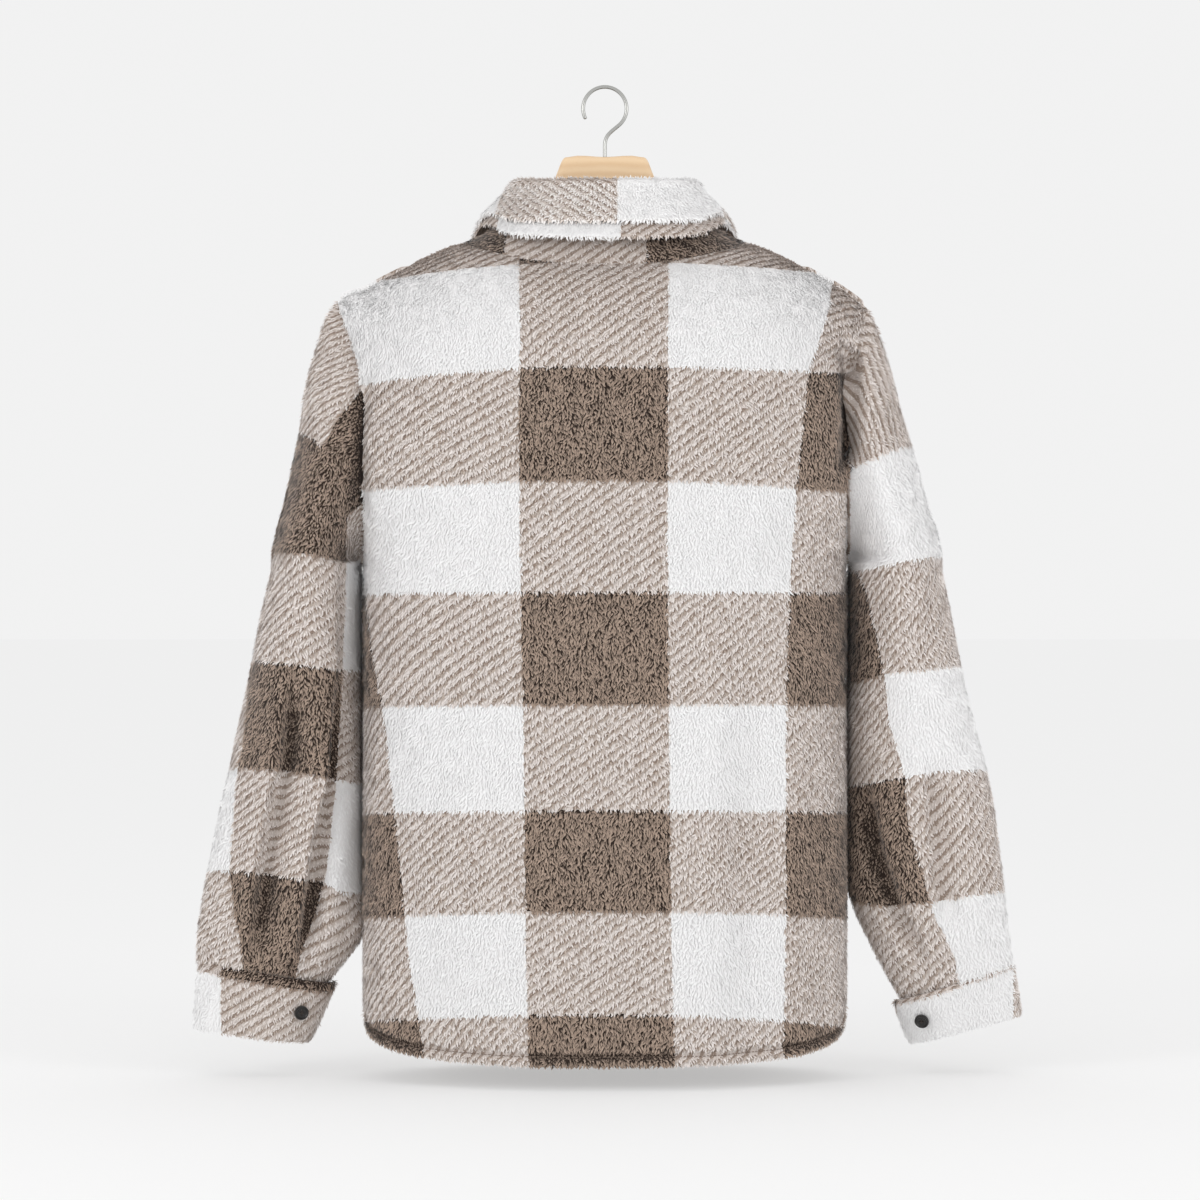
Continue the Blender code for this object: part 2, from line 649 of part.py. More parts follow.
# ---- buttons, hanger and hook -------------------------------------------------
def build_button(name, centre, facing):
    """A flat resin button with softened edges, its face towards `facing`."""
    facing = np.array(facing) / np.linalg.norm(facing)
    first = np.cross(facing, [0.0, 0.0, 1.0])
    first /= np.linalg.norm(first)
    second = np.cross(facing, first)
    turn = np.linspace(0, 2 * pi, BUTTON_SIDES, endpoint=False)
    circle = np.outer(np.cos(turn), first) + np.outer(np.sin(turn), second)
    inset = BUTTON_RADIUS - BUTTON_EDGE
    profile = (
        (inset, 0.0),
        (BUTTON_RADIUS, BUTTON_EDGE),
        (BUTTON_RADIUS, BUTTON_THICK - BUTTON_EDGE),
        (inset, BUTTON_THICK),
    )
    loft(name, [centre + circle * radius + facing * rise for radius, rise in profile], "button_resin")


def build_buttons():
    """Six buttons down the lapped front edge and one on each cuff."""
    outer, _ = front_grids("left")
    column = outer[:, 1]
    facing = normals(outer)[:, 1]
    for number, z in enumerate(FRONT_BUTTONS_Z, start=1):
        point = np.array([np.interp(z, column[:, 2], column[:, k]) for k in range(3)])
        out = np.array([np.interp(z, column[:, 2], facing[:, k]) for k in range(3)])
        build_button(f"button_front_{number}", point + out * BUTTON_PROUD, out)
    for side, sign in (("left", -1), ("right", 1)):
        theta, step = radians(CUFF_BUTTON_ANGLE), 0.1
        on, down, near, far = (
            cuff_ring(side, share, angle, LAP_RISE)
            for share, angle in (
                (CUFF_BUTTON_DROP, theta),
                (CUFF_BUTTON_DROP + step, theta),
                (CUFF_BUTTON_DROP, theta - step),
                (CUFF_BUTTON_DROP, theta + step),
            )
        )
        out = np.cross(down - on, far - near)
        out /= np.linalg.norm(out)
        mirror = np.array([sign, 1, 1])
        build_button(f"button_cuff_{side}", (on + out * CUFF_BUTTON_PROUD) * mirror, out * mirror)


def hanger_sections():
    """Stations of the hanger from its centre to its tip: x, top, bottom, half."""
    rows = list(zip(*(HANGER[name] for name in ("x", "top", "bottom", "half"))))
    for x in HANGER_ARM_X:
        share = (x - HANGER_ARM_X[0]) / (HANGER_ARM_X[-1] - HANGER_ARM_X[0])
        slope = (ridge_z(x + 0.001) - ridge_z(x - 0.001)) / 0.002
        top = float(ridge_z(x)) - (WALL + HANGER_CLEAR) * np.hypot(1, slope)
        half = (1 - share) * HANGER_ARM_HALF[0] + share * HANGER_ARM_HALF[1]
        rows.append((x, top, top - HANGER_ARM_HEIGHT, half))
    return rows


def build_hanger():
    """The wooden hanger under the shoulders, and its wire hook."""
    half = hanger_sections()
    stations = [(-x, top, bottom, deep) for x, top, bottom, deep in half[:0:-1]] + half
    turn = np.linspace(0, 2 * pi, HANGER_SIDES, endpoint=False) + pi / HANGER_SIDES
    rings = []
    for x, top, bottom, deep in stations:
        across = np.sign(np.cos(turn)) * np.abs(np.cos(turn)) ** HANGER_SQUARE
        tall = np.sign(np.sin(turn)) * np.abs(np.sin(turn)) ** HANGER_SQUARE
        middle, reach = (top + bottom) / 2, (top - bottom) / 2
        peak = np.abs(tall).max()
        ring = [(x, deep * a, middle + reach * t / peak) for a, t in zip(across, tall)]
        rings.append(ring)
    loft("hanger_wood", rings, "beech")

    radius = HOOK_INNER_RADIUS + WIRE_RADIUS
    start = np.array([radius * cos(radians(-50)), -HOOK_INNER_RADIUS + radius * sin(radians(-50))])
    foot = np.array([0.0, BLOCK_TOP_Z + SEAM_GAP])
    neck = np.array([0.0, BLOCK_TOP_Z + 0.010])
    pull = 0.010
    share = np.linspace(0, 1, 6)[:, None]
    ends = (neck, neck + [0.0, pull], start - pull * np.array([sin(radians(50)), cos(radians(50))]), start)
    bend = sum(w * p for w, p in zip(
        ((1 - share) ** 3, 3 * share * (1 - share) ** 2, 3 * share**2 * (1 - share), share**3), ends))
    turn = np.radians(np.arange(-50, 206, 15))[1:]
    arc = np.stack([radius * np.cos(turn), -HOOK_INNER_RADIUS + radius * np.sin(turn)], axis=1)
    path = np.concatenate([[foot], bend, arc])
    along = np.gradient(path, axis=0)
    along /= np.linalg.norm(along, axis=1, keepdims=True)
    side = np.linspace(0, 2 * pi, WIRE_SIDES, endpoint=False)
    rings = []
    for (x, z), (dx, dz) in zip(path, along):
        normal = WIRE_RADIUS * np.cos(side)
        rings.append(np.stack([x - dz * normal, WIRE_RADIUS * np.sin(side), z + dx * normal], axis=1))
    loft("hanger_hook", rings, "steel_wire")


def main():
    """Clear the scene and build every piece."""
    for thing in list(bpy.data.objects):
        bpy.data.objects.remove(thing, do_unlink=True)
    build_back()
    build_fronts()
    build_sleeves()
    build_collar()
    build_buttons()
    build_hanger()


main()
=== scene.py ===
"""Plush check shirt-jacket hanging on a wooden hanger, dressed for its render.

Metres, +Z up.  The back of the jacket faces -Y and the wearer's left is -X.
The origin is the inside top of the hanger's hook, where a rail carries it.
Each cloth piece is a thin shell of knit, on which a pile of locks is grown.
"""
import logging
from dataclasses import dataclass, field
from enum import Enum
from math import asin, cos, pi, radians, sin
from typing import Any, Iterable, Sequence

import bpy
import numpy as np
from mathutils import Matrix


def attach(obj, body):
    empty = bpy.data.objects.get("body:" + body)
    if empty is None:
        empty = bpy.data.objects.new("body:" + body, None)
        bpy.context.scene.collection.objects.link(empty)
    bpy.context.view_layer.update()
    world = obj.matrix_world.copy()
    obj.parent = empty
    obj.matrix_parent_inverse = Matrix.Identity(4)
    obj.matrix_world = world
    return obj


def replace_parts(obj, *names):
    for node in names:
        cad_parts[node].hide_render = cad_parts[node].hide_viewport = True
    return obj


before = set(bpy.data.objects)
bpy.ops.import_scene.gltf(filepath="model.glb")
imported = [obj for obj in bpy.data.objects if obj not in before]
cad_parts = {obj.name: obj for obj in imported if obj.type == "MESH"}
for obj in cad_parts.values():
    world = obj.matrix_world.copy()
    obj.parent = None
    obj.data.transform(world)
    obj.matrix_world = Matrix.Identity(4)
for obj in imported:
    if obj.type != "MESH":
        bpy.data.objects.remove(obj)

Array = np.ndarray
log = logging.getLogger("shirt_jacket")
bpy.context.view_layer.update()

MM = 0.001
COLUMN_MM = 130.0         # a check is this wide and this tall in the cloth
ROW_MM = 98.0
SHARP_DEG = 35.0          # edges of the hard pieces that turn by more stay sharp


class Side(Enum):
    """The wearer's left or right."""

    LEFT = "left"
    RIGHT = "right"

    @property
    def sign(self) -> int:
        """-1 on the wearer's left, which is at -X."""
        return -1 if self is Side.LEFT else 1

    @property
    def mirror(self) -> Array:
        """Turns points of the right side into this side's."""
        return np.array([self.sign, 1, 1])


class Face(Enum):
    """The back or the front of the jacket."""

    BACK = -1
    FRONT = 1


# ---- curves -------------------------------------------------------------------
def ease(share: Any) -> Array:
    """A soft step from 0 to 1."""
    share = np.clip(share, 0.0, 1.0)
    return share * share * (3.0 - 2.0 * share)


def unit(vectors: Array) -> Array:
    """The same directions at length one."""
    return vectors / np.maximum(np.linalg.norm(vectors, axis=-1, keepdims=True), 1e-12)


def bell(distance: Any, half: Any) -> Array:
    """A soft bump: 1 in its middle, and 0.37 at half its width."""
    return np.exp(-((distance / half) ** 2))


def turns(count: int) -> Array:
    """Angles all the way round."""
    return np.linspace(0, 2 * pi, count, endpoint=False)


def run_length(grid: Array, axis: int) -> Array:
    """Length along the rows or columns of a grid of points, from their start."""
    steps = np.linalg.norm(np.diff(grid, axis=axis), axis=-1)
    total = np.cumsum(steps, axis=axis)
    pad = [(0, 0), (0, 0)]
    pad[axis] = (1, 0)
    return np.pad(total, pad)


def below_top(grid: Array) -> Array:
    """Length along the columns of a grid of points, back from their end."""
    length = run_length(grid, 0)
    return length[-1] - length


def as_seen(points: Array) -> Array:
    """Where points appear on the upright plane of the back, from the camera.

    Args:
        points: An array whose last axis is x, y, z.

    Returns:
        x and z on the plane, in metres, along the last axis.
    """
    scale = Studio.BACK_REACH / (Studio.BACK_REACH + points[..., 1] - Studio.BACK_Y)
    x = Studio.EYE[0] + (points[..., 0] - Studio.EYE[0]) * scale
    z = Studio.EYE[2] + (points[..., 2] - Studio.EYE[2]) * scale
    return np.stack([x, z], axis=-1)


class Table:
    """Named columns of sizes, read on a smooth curve through their rows."""

    def __init__(self, names: str, *rows: Sequence[float]) -> None:
        """Keeps the rows as columns by name."""
        self.columns = dict(zip(names.split(), np.array(rows, dtype=float).T))

    def read(self, name: str, at: Any) -> Array:
        """A column at places of the first column.

        Args:
            name: The column to read.
            at: Places along the first column.

        Returns:
            The values there.
        """
        stations = next(iter(self.columns.values()))
        values = self.columns[name]
        slopes = np.gradient(values, stations)
        at = np.clip(at, stations[0], stations[-1])
        low = np.clip(np.searchsorted(stations, at) - 1, 0, len(stations) - 2)
        span = stations[low + 1] - stations[low]
        s = (at - stations[low]) / span
        start = values[low] * (1 + 2 * s) * (1 - s) ** 2 + slopes[low] * span * s * (1 - s) ** 2
        end = values[low + 1] * s * s * (3 - 2 * s) + slopes[low + 1] * span * s * s * (s - 1)
        return start + end

    def straight(self, name: str, at: Any) -> Array:
        """A column read on straight lines, and carried on past its ends."""
        stations = next(iter(self.columns.values()))
        values = self.columns[name]
        low = np.clip(np.searchsorted(stations, at) - 1, 0, len(stations) - 2)
        slope = (values[low + 1] - values[low]) / (stations[low + 1] - stations[low])
        return values[low] + slope * (at - stations[low])

    def row(self, at: float) -> dict[str, float]:
        """Every column at one place."""
        return {name: float(self.read(name, at)) for name in self.columns}


def facings(grid: Array, closed: bool = False) -> Array:
    """Unit normals of a grid, towards the side where columns run anticlockwise
    as the rows rise."""
    if closed:
        wrapped = np.concatenate([grid[:, -1:], grid, grid[:, :1]], axis=1)
        across = np.gradient(wrapped, axis=1)[:, 1:-1]
    else:
        across = np.gradient(grid, axis=1)
    return unit(np.cross(across, np.gradient(grid, axis=0)))


def spread(value: float, lines: Array, numbers: Array, places: Array) -> Array:
    """Check numbers along one run of cloth, from the lines that cross it.

    Args:
        value: How many checks there are in a metre past the outer lines.
        lines: Places of the lines along the run, rising.
        numbers: The check number at each line.
        places: Places along the run to number.

    Returns:
        The number at each place.
    """
    inside = np.interp(places, lines, numbers)
    way = np.sign(numbers[-1] - numbers[0])
    below = numbers[0] - way * (lines[0] - places) * value
    above = numbers[-1] + way * (places - lines[-1]) * value
    return np.where(places < lines[0], below, np.where(places > lines[-1], above, inside))


# ---- nodes and finishes -------------------------------------------------------
WAVES_PER_UNIT = 3.2               # bands that a wave texture of scale 1 lays in a unit


def linear(colour: str) -> tuple[float, float, float, float]:
    """An sRGB hex colour as linear red, green, blue and alpha."""
    parts = [int(colour[k:k + 2], 16) / 255 for k in (1, 3, 5)]
    return (*(p / 12.92 if p <= 0.04045 else ((p + 0.055) / 1.055) ** 2.4 for p in parts), 1.0)


class Graph:
    """A node tree while it is laid out."""

    def __init__(self, tree: Any) -> None:
        """Takes over a shader or geometry tree."""
        self.tree = tree

    def feed(self, node: Any, inputs: dict) -> Any:
        """Sets a node's inputs.

        Args:
            node: The node.
            inputs: By name or number, a node, an output or a plain value.

        Returns:
            The node.
        """
        for key, value in inputs.items():
            if isinstance(value, bpy.types.Node):
                value = value.outputs[0]
            if isinstance(value, bpy.types.NodeSocket):
                self.tree.links.new(value, node.inputs[key])
            else:
                node.inputs[key].default_value = value
        return node

    def add(self, kind: str, settings: dict | None = None, inputs: dict | None = None) -> Any:
        """Adds a node.

        Args:
            kind: The node's type.
            settings: Properties of the node by name.
            inputs: Its inputs, as in feed().

        Returns:
            The node.
        """
        node = self.tree.nodes.new(kind)
        for key, value in (settings or {}).items():
            setattr(node, key, value)
        return self.feed(node, inputs or {})

    def maths(self, operation: str, *values: Any) -> Any:
        """A Math node on the given values."""
        return self.add("ShaderNodeMath", {"operation": operation}, dict(enumerate(values)))

    def noise(self, place: Any, scale: Any, detail: float, distortion: float = 0.0) -> Any:
        """Noise from 0 to 1, with `scale` of its lumps in a metre."""
        return self.add("ShaderNodeTexNoise", None, {
            "Vector": place, "Scale": scale, "Detail": detail, "Distortion": distortion})

    def apart(self, vector: Any) -> Any:
        """The x, y and z of a vector, as three outputs."""
        return self.add("ShaderNodeSeparateXYZ", None, {0: vector}).outputs


class Paint(Graph):
    """A material while it is made, round one Principled shader."""

    def __init__(self, name: str) -> None:
        """Starts a material."""
        self.material = bpy.data.materials.new(name)
        self.material.use_nodes = True
        super().__init__(self.material.node_tree)

    def place(self) -> Any:
        """A point's place on its object, in metres."""
        return self.add("ShaderNodeTexCoord").outputs["Object"]

    def known(self, name: str, output: str = "Fac") -> Any:
        """A number or a vector stored on the mesh."""
        return self.add("ShaderNodeAttribute", {"attribute_name": name}).outputs[output]

    def blend(self, share: Any, first: Any, second: Any) -> Any:
        """A mix of two colours."""
        return self.add("ShaderNodeMixRGB", None, {"Fac": share, "Color1": first, "Color2": second})

    def waves(self, settings: dict, place: Any, pitch_mm: float, more: dict) -> Any:
        """Bands or rings at a pitch, from 0 to 1."""
        return self.add("ShaderNodeTexWave", settings, {
            "Vector": place, "Scale": 1 / (pitch_mm * MM) / WAVES_PER_UNIT, **more}).outputs["Fac"]

    def within(self, value: Any, low: float, high: float) -> Any:
        """A number from 0 to 1, taken between two ends."""
        return self.add("ShaderNodeMapRange", None, {"Value": value, "To Min": low, "To Max": high})

    def bump(self, height: Any, strength: float, distance: float) -> Any:
        """Normals of a fine relief."""
        return self.add("ShaderNodeBump", None, {
            "Height": height, "Strength": strength, "Distance": distance})

    def finished(self, inputs: dict) -> Any:
        """The material, with these inputs of its shader."""
        self.feed(self.tree.nodes["Principled BSDF"], inputs)
        return self.material


@dataclass(frozen=True)
class Weave:
    """Where the check's two yarns lie.

    Brown crosses brown and white crosses white in plain blocks; where one crosses
    the other they show by turns as twill stripes.
    """

    pitch_mm: float = 9.3              # height from one dark stripe to the next
    dark_share: float = 0.41           # of that height is dark
    slope: float = 0.73                # rise of a stripe over its run
    wobble_mm: float = 1.0             # how far a stripe wanders
    wobble_scale_mm: float = 13.0

    def lay(self, graph: Graph, cloth: Any, place: Any) -> tuple[Any, Any]:
        """Nodes that tell the yarn from a point's check numbers.

        Args:
            graph: A shader or geometry tree.
            cloth: Check numbers across and down, and the twill's own shift in mm.
            place: The point in metres.

        Returns:
            1 where the yarn is brown, and 1 where the two yarns cross.
        """
        maths = graph.maths
        u, v, shift = graph.apart(cloth)
        warp = maths("LESS_THAN", maths("FLOORED_MODULO", u, 2.0), 1.0)
        weft = maths("GREATER_THAN", maths("FLOORED_MODULO", v, 2.0), 1.0)
        wander = graph.noise(place, 1 / (self.wobble_scale_mm * MM), 1.0)
        lift = maths("MULTIPLY_ADD", wander, 2 * self.wobble_mm, shift)
        across = maths("MULTIPLY_ADD", u, COLUMN_MM * self.slope, lift)
        height = maths("MULTIPLY_ADD", v, ROW_MM, across)
        phase = maths("FRACT", maths("DIVIDE", height, self.pitch_mm))
        stripe = maths("LESS_THAN", phase, self.dark_share)
        both = maths("MULTIPLY", warp, weft)
        mixed = maths("SUBTRACT", maths("MAXIMUM", warp, weft), both)
        return maths("MULTIPLY_ADD", mixed, stripe, both), mixed


@dataclass(frozen=True)
class Yarn:
    """The colours of one yarn: deep in the pile, darkened there by painted shade, and at its tips."""

    root: str
    tip: str


@dataclass(frozen=True)
class PlushFinish:
    """Polyester sherpa fleece, brushed into locks.  Dull, with a faint sheen on the nap."""

    # Each root colour is darker than its tip: painted shade deep in the pile, between the locks.
    brown: Yarn = Yarn("#2c2019", "#b39e8e")
    brown_stripe: Yarn = Yarn("#958478", "#c4b6ab")
    white_stripe: Yarn = Yarn("#cbc0b9", "#ece5e1")
    white: Yarn = Yarn("#efeeee", "#f7f7f7")
    roughness: float = 0.86
    sheen: float = 0.30
    lock_share: float = 0.75           # how far a lock's own tone moves it from root to tip
    root_end: float = 0.05             # height and tone together where the root's colour ends
    tip_end: float = 1.35              # and where the tip's is reached

    def ends(self, paint: Paint, brown: Any, mixed: Any) -> list[Any]:
        """The pile's colours at its root, with painted shade, and at its tip.

        Args:
            paint: The material.
            brown: 1 where the yarn is brown.
            mixed: 1 where the two yarns cross.

        Returns:
            Both colours.
        """
        made = []
        for end in ("root", "tip"):
            white, dark, pale_stripe, dark_stripe = (
                linear(getattr(yarn, end))
                for yarn in (self.white, self.brown, self.white_stripe, self.brown_stripe))
            plain = paint.blend(brown, white, dark)
            made.append(paint.blend(mixed, plain, paint.blend(brown, pale_stripe, dark_stripe)))
        return made

    def build(self, name: str, roots_only: bool = False) -> Any:
        """The finish as a material.

        Args:
            name: The material's name.
            roots_only: True for the knit ground under the pile.

        Returns:
            The material.
        """
        paint = Paint(name)
        if roots_only:
            # The knit ground takes the roots' colour: painted shade in the gaps between the locks.
            brown, mixed = Weave().lay(paint, paint.known("cloth", "Vector"), paint.place())
            colour = self.ends(paint, brown, mixed)[0]
        else:
            root, tip = self.ends(paint, paint.known("brown"), paint.known("mixed"))
            # A lock's colour runs from its root's painted shade up to its tip, by its height and its own
            # tone.
            lit = paint.maths("MULTIPLY_ADD", paint.known("tone"), self.lock_share, paint.known("rise"))
            share = paint.add("ShaderNodeMapRange", {"interpolation_type": "SMOOTHSTEP"}, {
                "Value": lit, "From Min": self.root_end, "From Max": self.tip_end})
            colour = paint.blend(share, root, tip)
        return paint.finished({
            "Base Color": colour, "Roughness": self.roughness, "Specular IOR Level": 0.25,
            "Sheen Weight": self.sheen, "Sheen Roughness": 0.5})


@dataclass(frozen=True)
class KnitFinish:
    """The brushed knit back of the fleece, which is bare inside the jacket.

    Fine upright wales, matt and slightly warm.
    """

    dark: str = "#b9aea6"
    light: str = "#d9d1ca"
    wale_mm: float = 2.4               # coarser than real, so that it shows
    fibres: float = 420.0              # in a metre

    def build(self, name: str) -> Any:
        """The finish as a material."""
        paint = Paint(name)
        place = paint.place()
        wales = paint.waves({"bands_direction": "X"}, place, self.wale_mm,
                            {"Distortion": 1.5, "Detail": 2.0, "Detail Scale": 2.0})
        # The colour is darker where the relief is low, between the wales: painted shade.
        both = paint.maths("MULTIPLY", wales, paint.noise(place, self.fibres, 3.0))
        return paint.finished({
            "Base Color": paint.blend(both, linear(self.dark), linear(self.light)),
            "Normal": paint.bump(both, 0.5, 0.8 * MM), "Roughness": 0.92, "Specular IOR Level": 0.2})


@dataclass(frozen=True)
class ThreadFinish:
    """Spun polyester sewing thread, matt with a soft highlight."""

    colour: str = "#8a776a"
    shade: float = 0.6                 # painted shade between its plies, as a share of its own colour
    plies: float = 900.0               # in a metre

    def build(self, name: str) -> Any:
        """The finish as a material."""
        paint = Paint(name)
        light = linear(self.colour)
        dark = tuple(self.shade * c for c in light[:3]) + (1.0,)
        colour = paint.blend(paint.noise(paint.place(), self.plies, 2.0), dark, light)
        return paint.finished({"Base Color": colour, "Roughness": 0.7})


@dataclass(frozen=True)
class WoodFinish:
    """Beech, bandsawn and lacquered satin: pale, with arching grain and short flecks."""

    light: str = "#e8cba6"
    dark: str = "#d8b48a"
    ring_mm: float = 9.0
    heart_z: float = 0.155             # the rings' middle is this far below the origin
    pores: tuple[float, float, float] = (260.0, 900.0, 1600.0)    # in a metre, along x, y and z
    roughness: float = 0.42

    def build(self, name: str) -> Any:
        """The finish as a material."""
        paint = Paint(name)
        place = paint.place()
        trunk = paint.add("ShaderNodeMapping", None, {
            "Vector": place, "Location": (0.0, 0.0, self.heart_z), "Scale": (0.42, 2.0, 1.0)})
        rings = paint.waves({"wave_type": "RINGS", "rings_direction": "Y"}, trunk, self.ring_mm,
                            {"Distortion": 2.2, "Detail": 2.5, "Detail Scale": 1.2})
        drawn_out = paint.add("ShaderNodeMapping", None, {"Vector": place, "Scale": self.pores})
        pores = paint.noise(drawn_out, 1.0, 2.0)
        fleck = paint.add("ShaderNodeMapRange", None, {
            "Value": pores, "From Min": 0.62, "From Max": 0.75, "To Max": 0.35})
        grain = paint.add("ShaderNodeMath", {"operation": "MULTIPLY_ADD", "use_clamp": True},
                          {0: rings, 1: 0.55, 2: fleck})
        return paint.finished({
            "Base Color": paint.blend(grain, linear(self.light), linear(self.dark)),
            "Normal": paint.bump(pores, 0.12, 0.2 * MM), "Roughness": self.roughness,
            "Coat Weight": 0.15})


@dataclass(frozen=True)
class ResinFinish:
    """Cast polyester resin buttons, dyed near black and tumbled to a soft gloss."""

    light: str = "#171311"
    dark: str = "#080706"
    swirls: float = 260.0              # in a metre

    def build(self, name: str) -> Any:
        """The finish as a material."""
        paint = Paint(name)
        swirl = paint.noise(paint.place(), self.swirls, 3.0, 1.5)
        return paint.finished({
            "Base Color": paint.blend(swirl, linear(self.dark), linear(self.light)),
            "Roughness": paint.within(swirl, 0.22, 0.4), "IOR": 1.54})


@dataclass(frozen=True)
class SteelFinish:
    """Bright nickel-plated steel wire, drawn along its length."""

    colour: str = "#b4b4b1"
    marks: float = 700.0               # in a metre

    def build(self, name: str) -> Any:
        """The finish as a material."""
        paint = Paint(name)
        marks = paint.noise(paint.place(), self.marks, 2.0)
        return paint.finished({"Base Color": linear(self.colour), "Metallic": 1.0,
                               "Roughness": paint.within(marks, 0.30, 0.38)})


@dataclass(frozen=True)
class PaperFinish:
    """Matt white seamless paper, lit from below, so that shadows on it stay pale."""

    colour: str = "#bababa"
    glow: float = 0.43

    def build(self, name: str) -> Any:
        """The finish as a material."""
        return Paint(name).finished({
            "Base Color": linear(self.colour), "Roughness": 1.0, "Specular IOR Level": 0.0,
            "Emission Color": (1.0, 1.0, 1.0, 1.0), "Emission Strength": self.glow})


class Wardrobe:
    """Every material of the scene."""

    def __init__(self) -> None:
        """Makes them all."""
        self.pile = PlushFinish().build("sherpa_fleece_pile")
        # A lighter copy of the pile for the collar's leaf, with paler stripes and whiter white: painted
        # light.
        self.painted_light_pile = PlushFinish(
            brown_stripe=Yarn("#cdc1b8", "#e6ddd6"), white_stripe=Yarn("#eae3de", "#fbf8f6"),
            white=Yarn("#f6f5f5", "#fdfdfd")).build("sherpa_fleece_brushed_up")
        self.ground = PlushFinish().build("sherpa_fleece_ground", roots_only=True)
        self.knit = KnitFinish().build("brushed_knit_back")
        self.thread = ThreadFinish().build("polyester_thread")
        self.dark_thread = ThreadFinish("#3b332e").build("button_thread")
        self.wood = WoodFinish().build("satin_beech")
        self.resin = ResinFinish().build("tumbled_resin")
        self.steel = SteelFinish().build("nickel_plated_wire")
        self.paper = PaperFinish().build("seamless_paper")


# ---- cloth --------------------------------------------------------------------
@dataclass(frozen=True)
class Crease:
    """A soft trough or ridge of hanging cloth, laid where it shows.

    The path is in x and z as seen from the camera; each flank has its own half
    width, so that a pleat can drop on one side and come back slowly on the other.
    """

    path: tuple[tuple[float, float], ...]
    rise_mm: float
    left_mm: float
    right_mm: float
    face: Face | None = Face.BACK      # None runs over both
    fade_mm: float = 45.0
    way: tuple[float, float, float] | None = None    # moves that way, not along the normal
    end_share: float = 0.15            # of the fade is over at the path's very ends

    def relief(self, seen: Array) -> Array:
        """How far the crease moves the cloth out.

        Args:
            seen: Points as x and z, as seen.

        Returns:
            Metres along the cloth's outward normal.
        """
        path = np.array(self.path)
        best = np.full(seen.shape[:-1], 1e9)
        side = np.zeros_like(best)
        along = np.zeros_like(best)
        start = 0.0
        for first, last in zip(path[:-1], path[1:]):
            step = last - first
            length = float(np.linalg.norm(step))
            off = seen - first
            share = np.clip((off @ step) / length**2, 0, 1)
            away = off - share[..., None] * step
            gap = np.linalg.norm(away, axis=-1)
            turn = np.sign(step[0] * off[..., 1] - step[1] * off[..., 0])
            near = gap < best
            best = np.where(near, gap, best)
            side = np.where(near, turn, side)
            along = np.where(near, start + share * length, along)
            start += length
        width = np.where(side > 0, self.right_mm, self.left_mm) * MM
        ends = ease(np.minimum(along, start - along) / (self.fade_mm * MM) + self.end_share)
        return self.rise_mm * MM * bell(best, width) * ends


def creased(points: Array, facing: Array, creases: Iterable[Crease], face: Any) -> Array:
    """Points moved out and in by the creases of their side.

    Args:
        points: A grid of points.
        facing: Their outward normals.
        creases: The creases to lay.
        face: For each point -1 on the back and 1 on the front, or one number.

    Returns:
        The moved points.
    """
    seen = as_seen(points)
    moved = points.copy()
    for crease in creases:
        side = crease.face.value if crease.face else face
        rise = crease.relief(seen) * (np.asarray(face) * side > 0)
        moved += rise[..., None] * (facing if crease.way is None else np.array(crease.way))
    return moved


PRESSED_SHARE = 0.30               # pressed pile is shorter by this share
PRESSED_FROM = 2.0 * MM            # sinking of the cloth that begins to press it
PRESSED_OVER = 9.0 * MM            # more of it until it is wholly pressed


def laid(moved: Array, tips: Array, facing: Array) -> Array:
    """How tall the pile grows where creases moved the cloth: it is pressed down in them, and its locks are
    darkened there as painted shade.

    Args:
        moved: The creased points.
        tips: The points before.
        facing: The outward normals before.

    Returns:
        The pile's height against the usual.
    """
    sunk = -np.einsum("ijk,ijk->ij", moved - tips, facing)
    return 1 - PRESSED_SHARE * ease((sunk - PRESSED_FROM) / PRESSED_OVER)


def number_run(run: Array, gaps: Array, numbers: Sequence[float], rate: float) -> Array:
    """Check numbers along a run of cloth that lines of the check cross.

    Args:
        run: Lengths along the cloth.
        gaps: For each line, how far each point is past it.
        numbers: The check number at each line.
        rate: Checks in a metre past the outer lines.

    Returns:
        The number at each point of the run.
    """
    places = []
    for gap in gaps:
        if gap[0] > 0:
            places.append(run[0] - gap[0])
        elif gap[-1] < 0:
            places.append(run[-1] - gap[-1])
        else:
            places.append(float(np.interp(0.0, np.maximum.accumulate(gap), run)))
    return spread(rate, np.array(places), np.array(numbers, dtype=float), run)


def numbered(runs: Array, gaps: Sequence[Array], numbers: Sequence[float], rate: float) -> Array:
    """Check numbers on every row of a grid, as number_run() tells them.

    Args:
        runs: Lengths along each row.
        gaps: For each line, how far each point of the grid is past it.
        numbers: The check number at each line.
        rate: Checks in a metre past the outer lines.

    Returns:
        The number at each point.
    """
    by_row = np.array(gaps).swapaxes(0, 1)
    return np.array([number_run(run, gap, numbers, rate) for run, gap in zip(runs, by_row)])


def twilled(cloth: Array, way: int = 1) -> Array:
    """Check numbers with the twill's shift.

    Args:
        cloth: Check numbers across and down.
        way: 1 where the twill rises with the column numbers, -1 where it falls.

    Returns:
        The numbers, with the shift in mm as their third part.
    """
    shift = (way - 1) * COLUMN_MM * Weave.slope * cloth[..., :1]
    return np.concatenate([cloth[..., :2], shift], axis=-1)


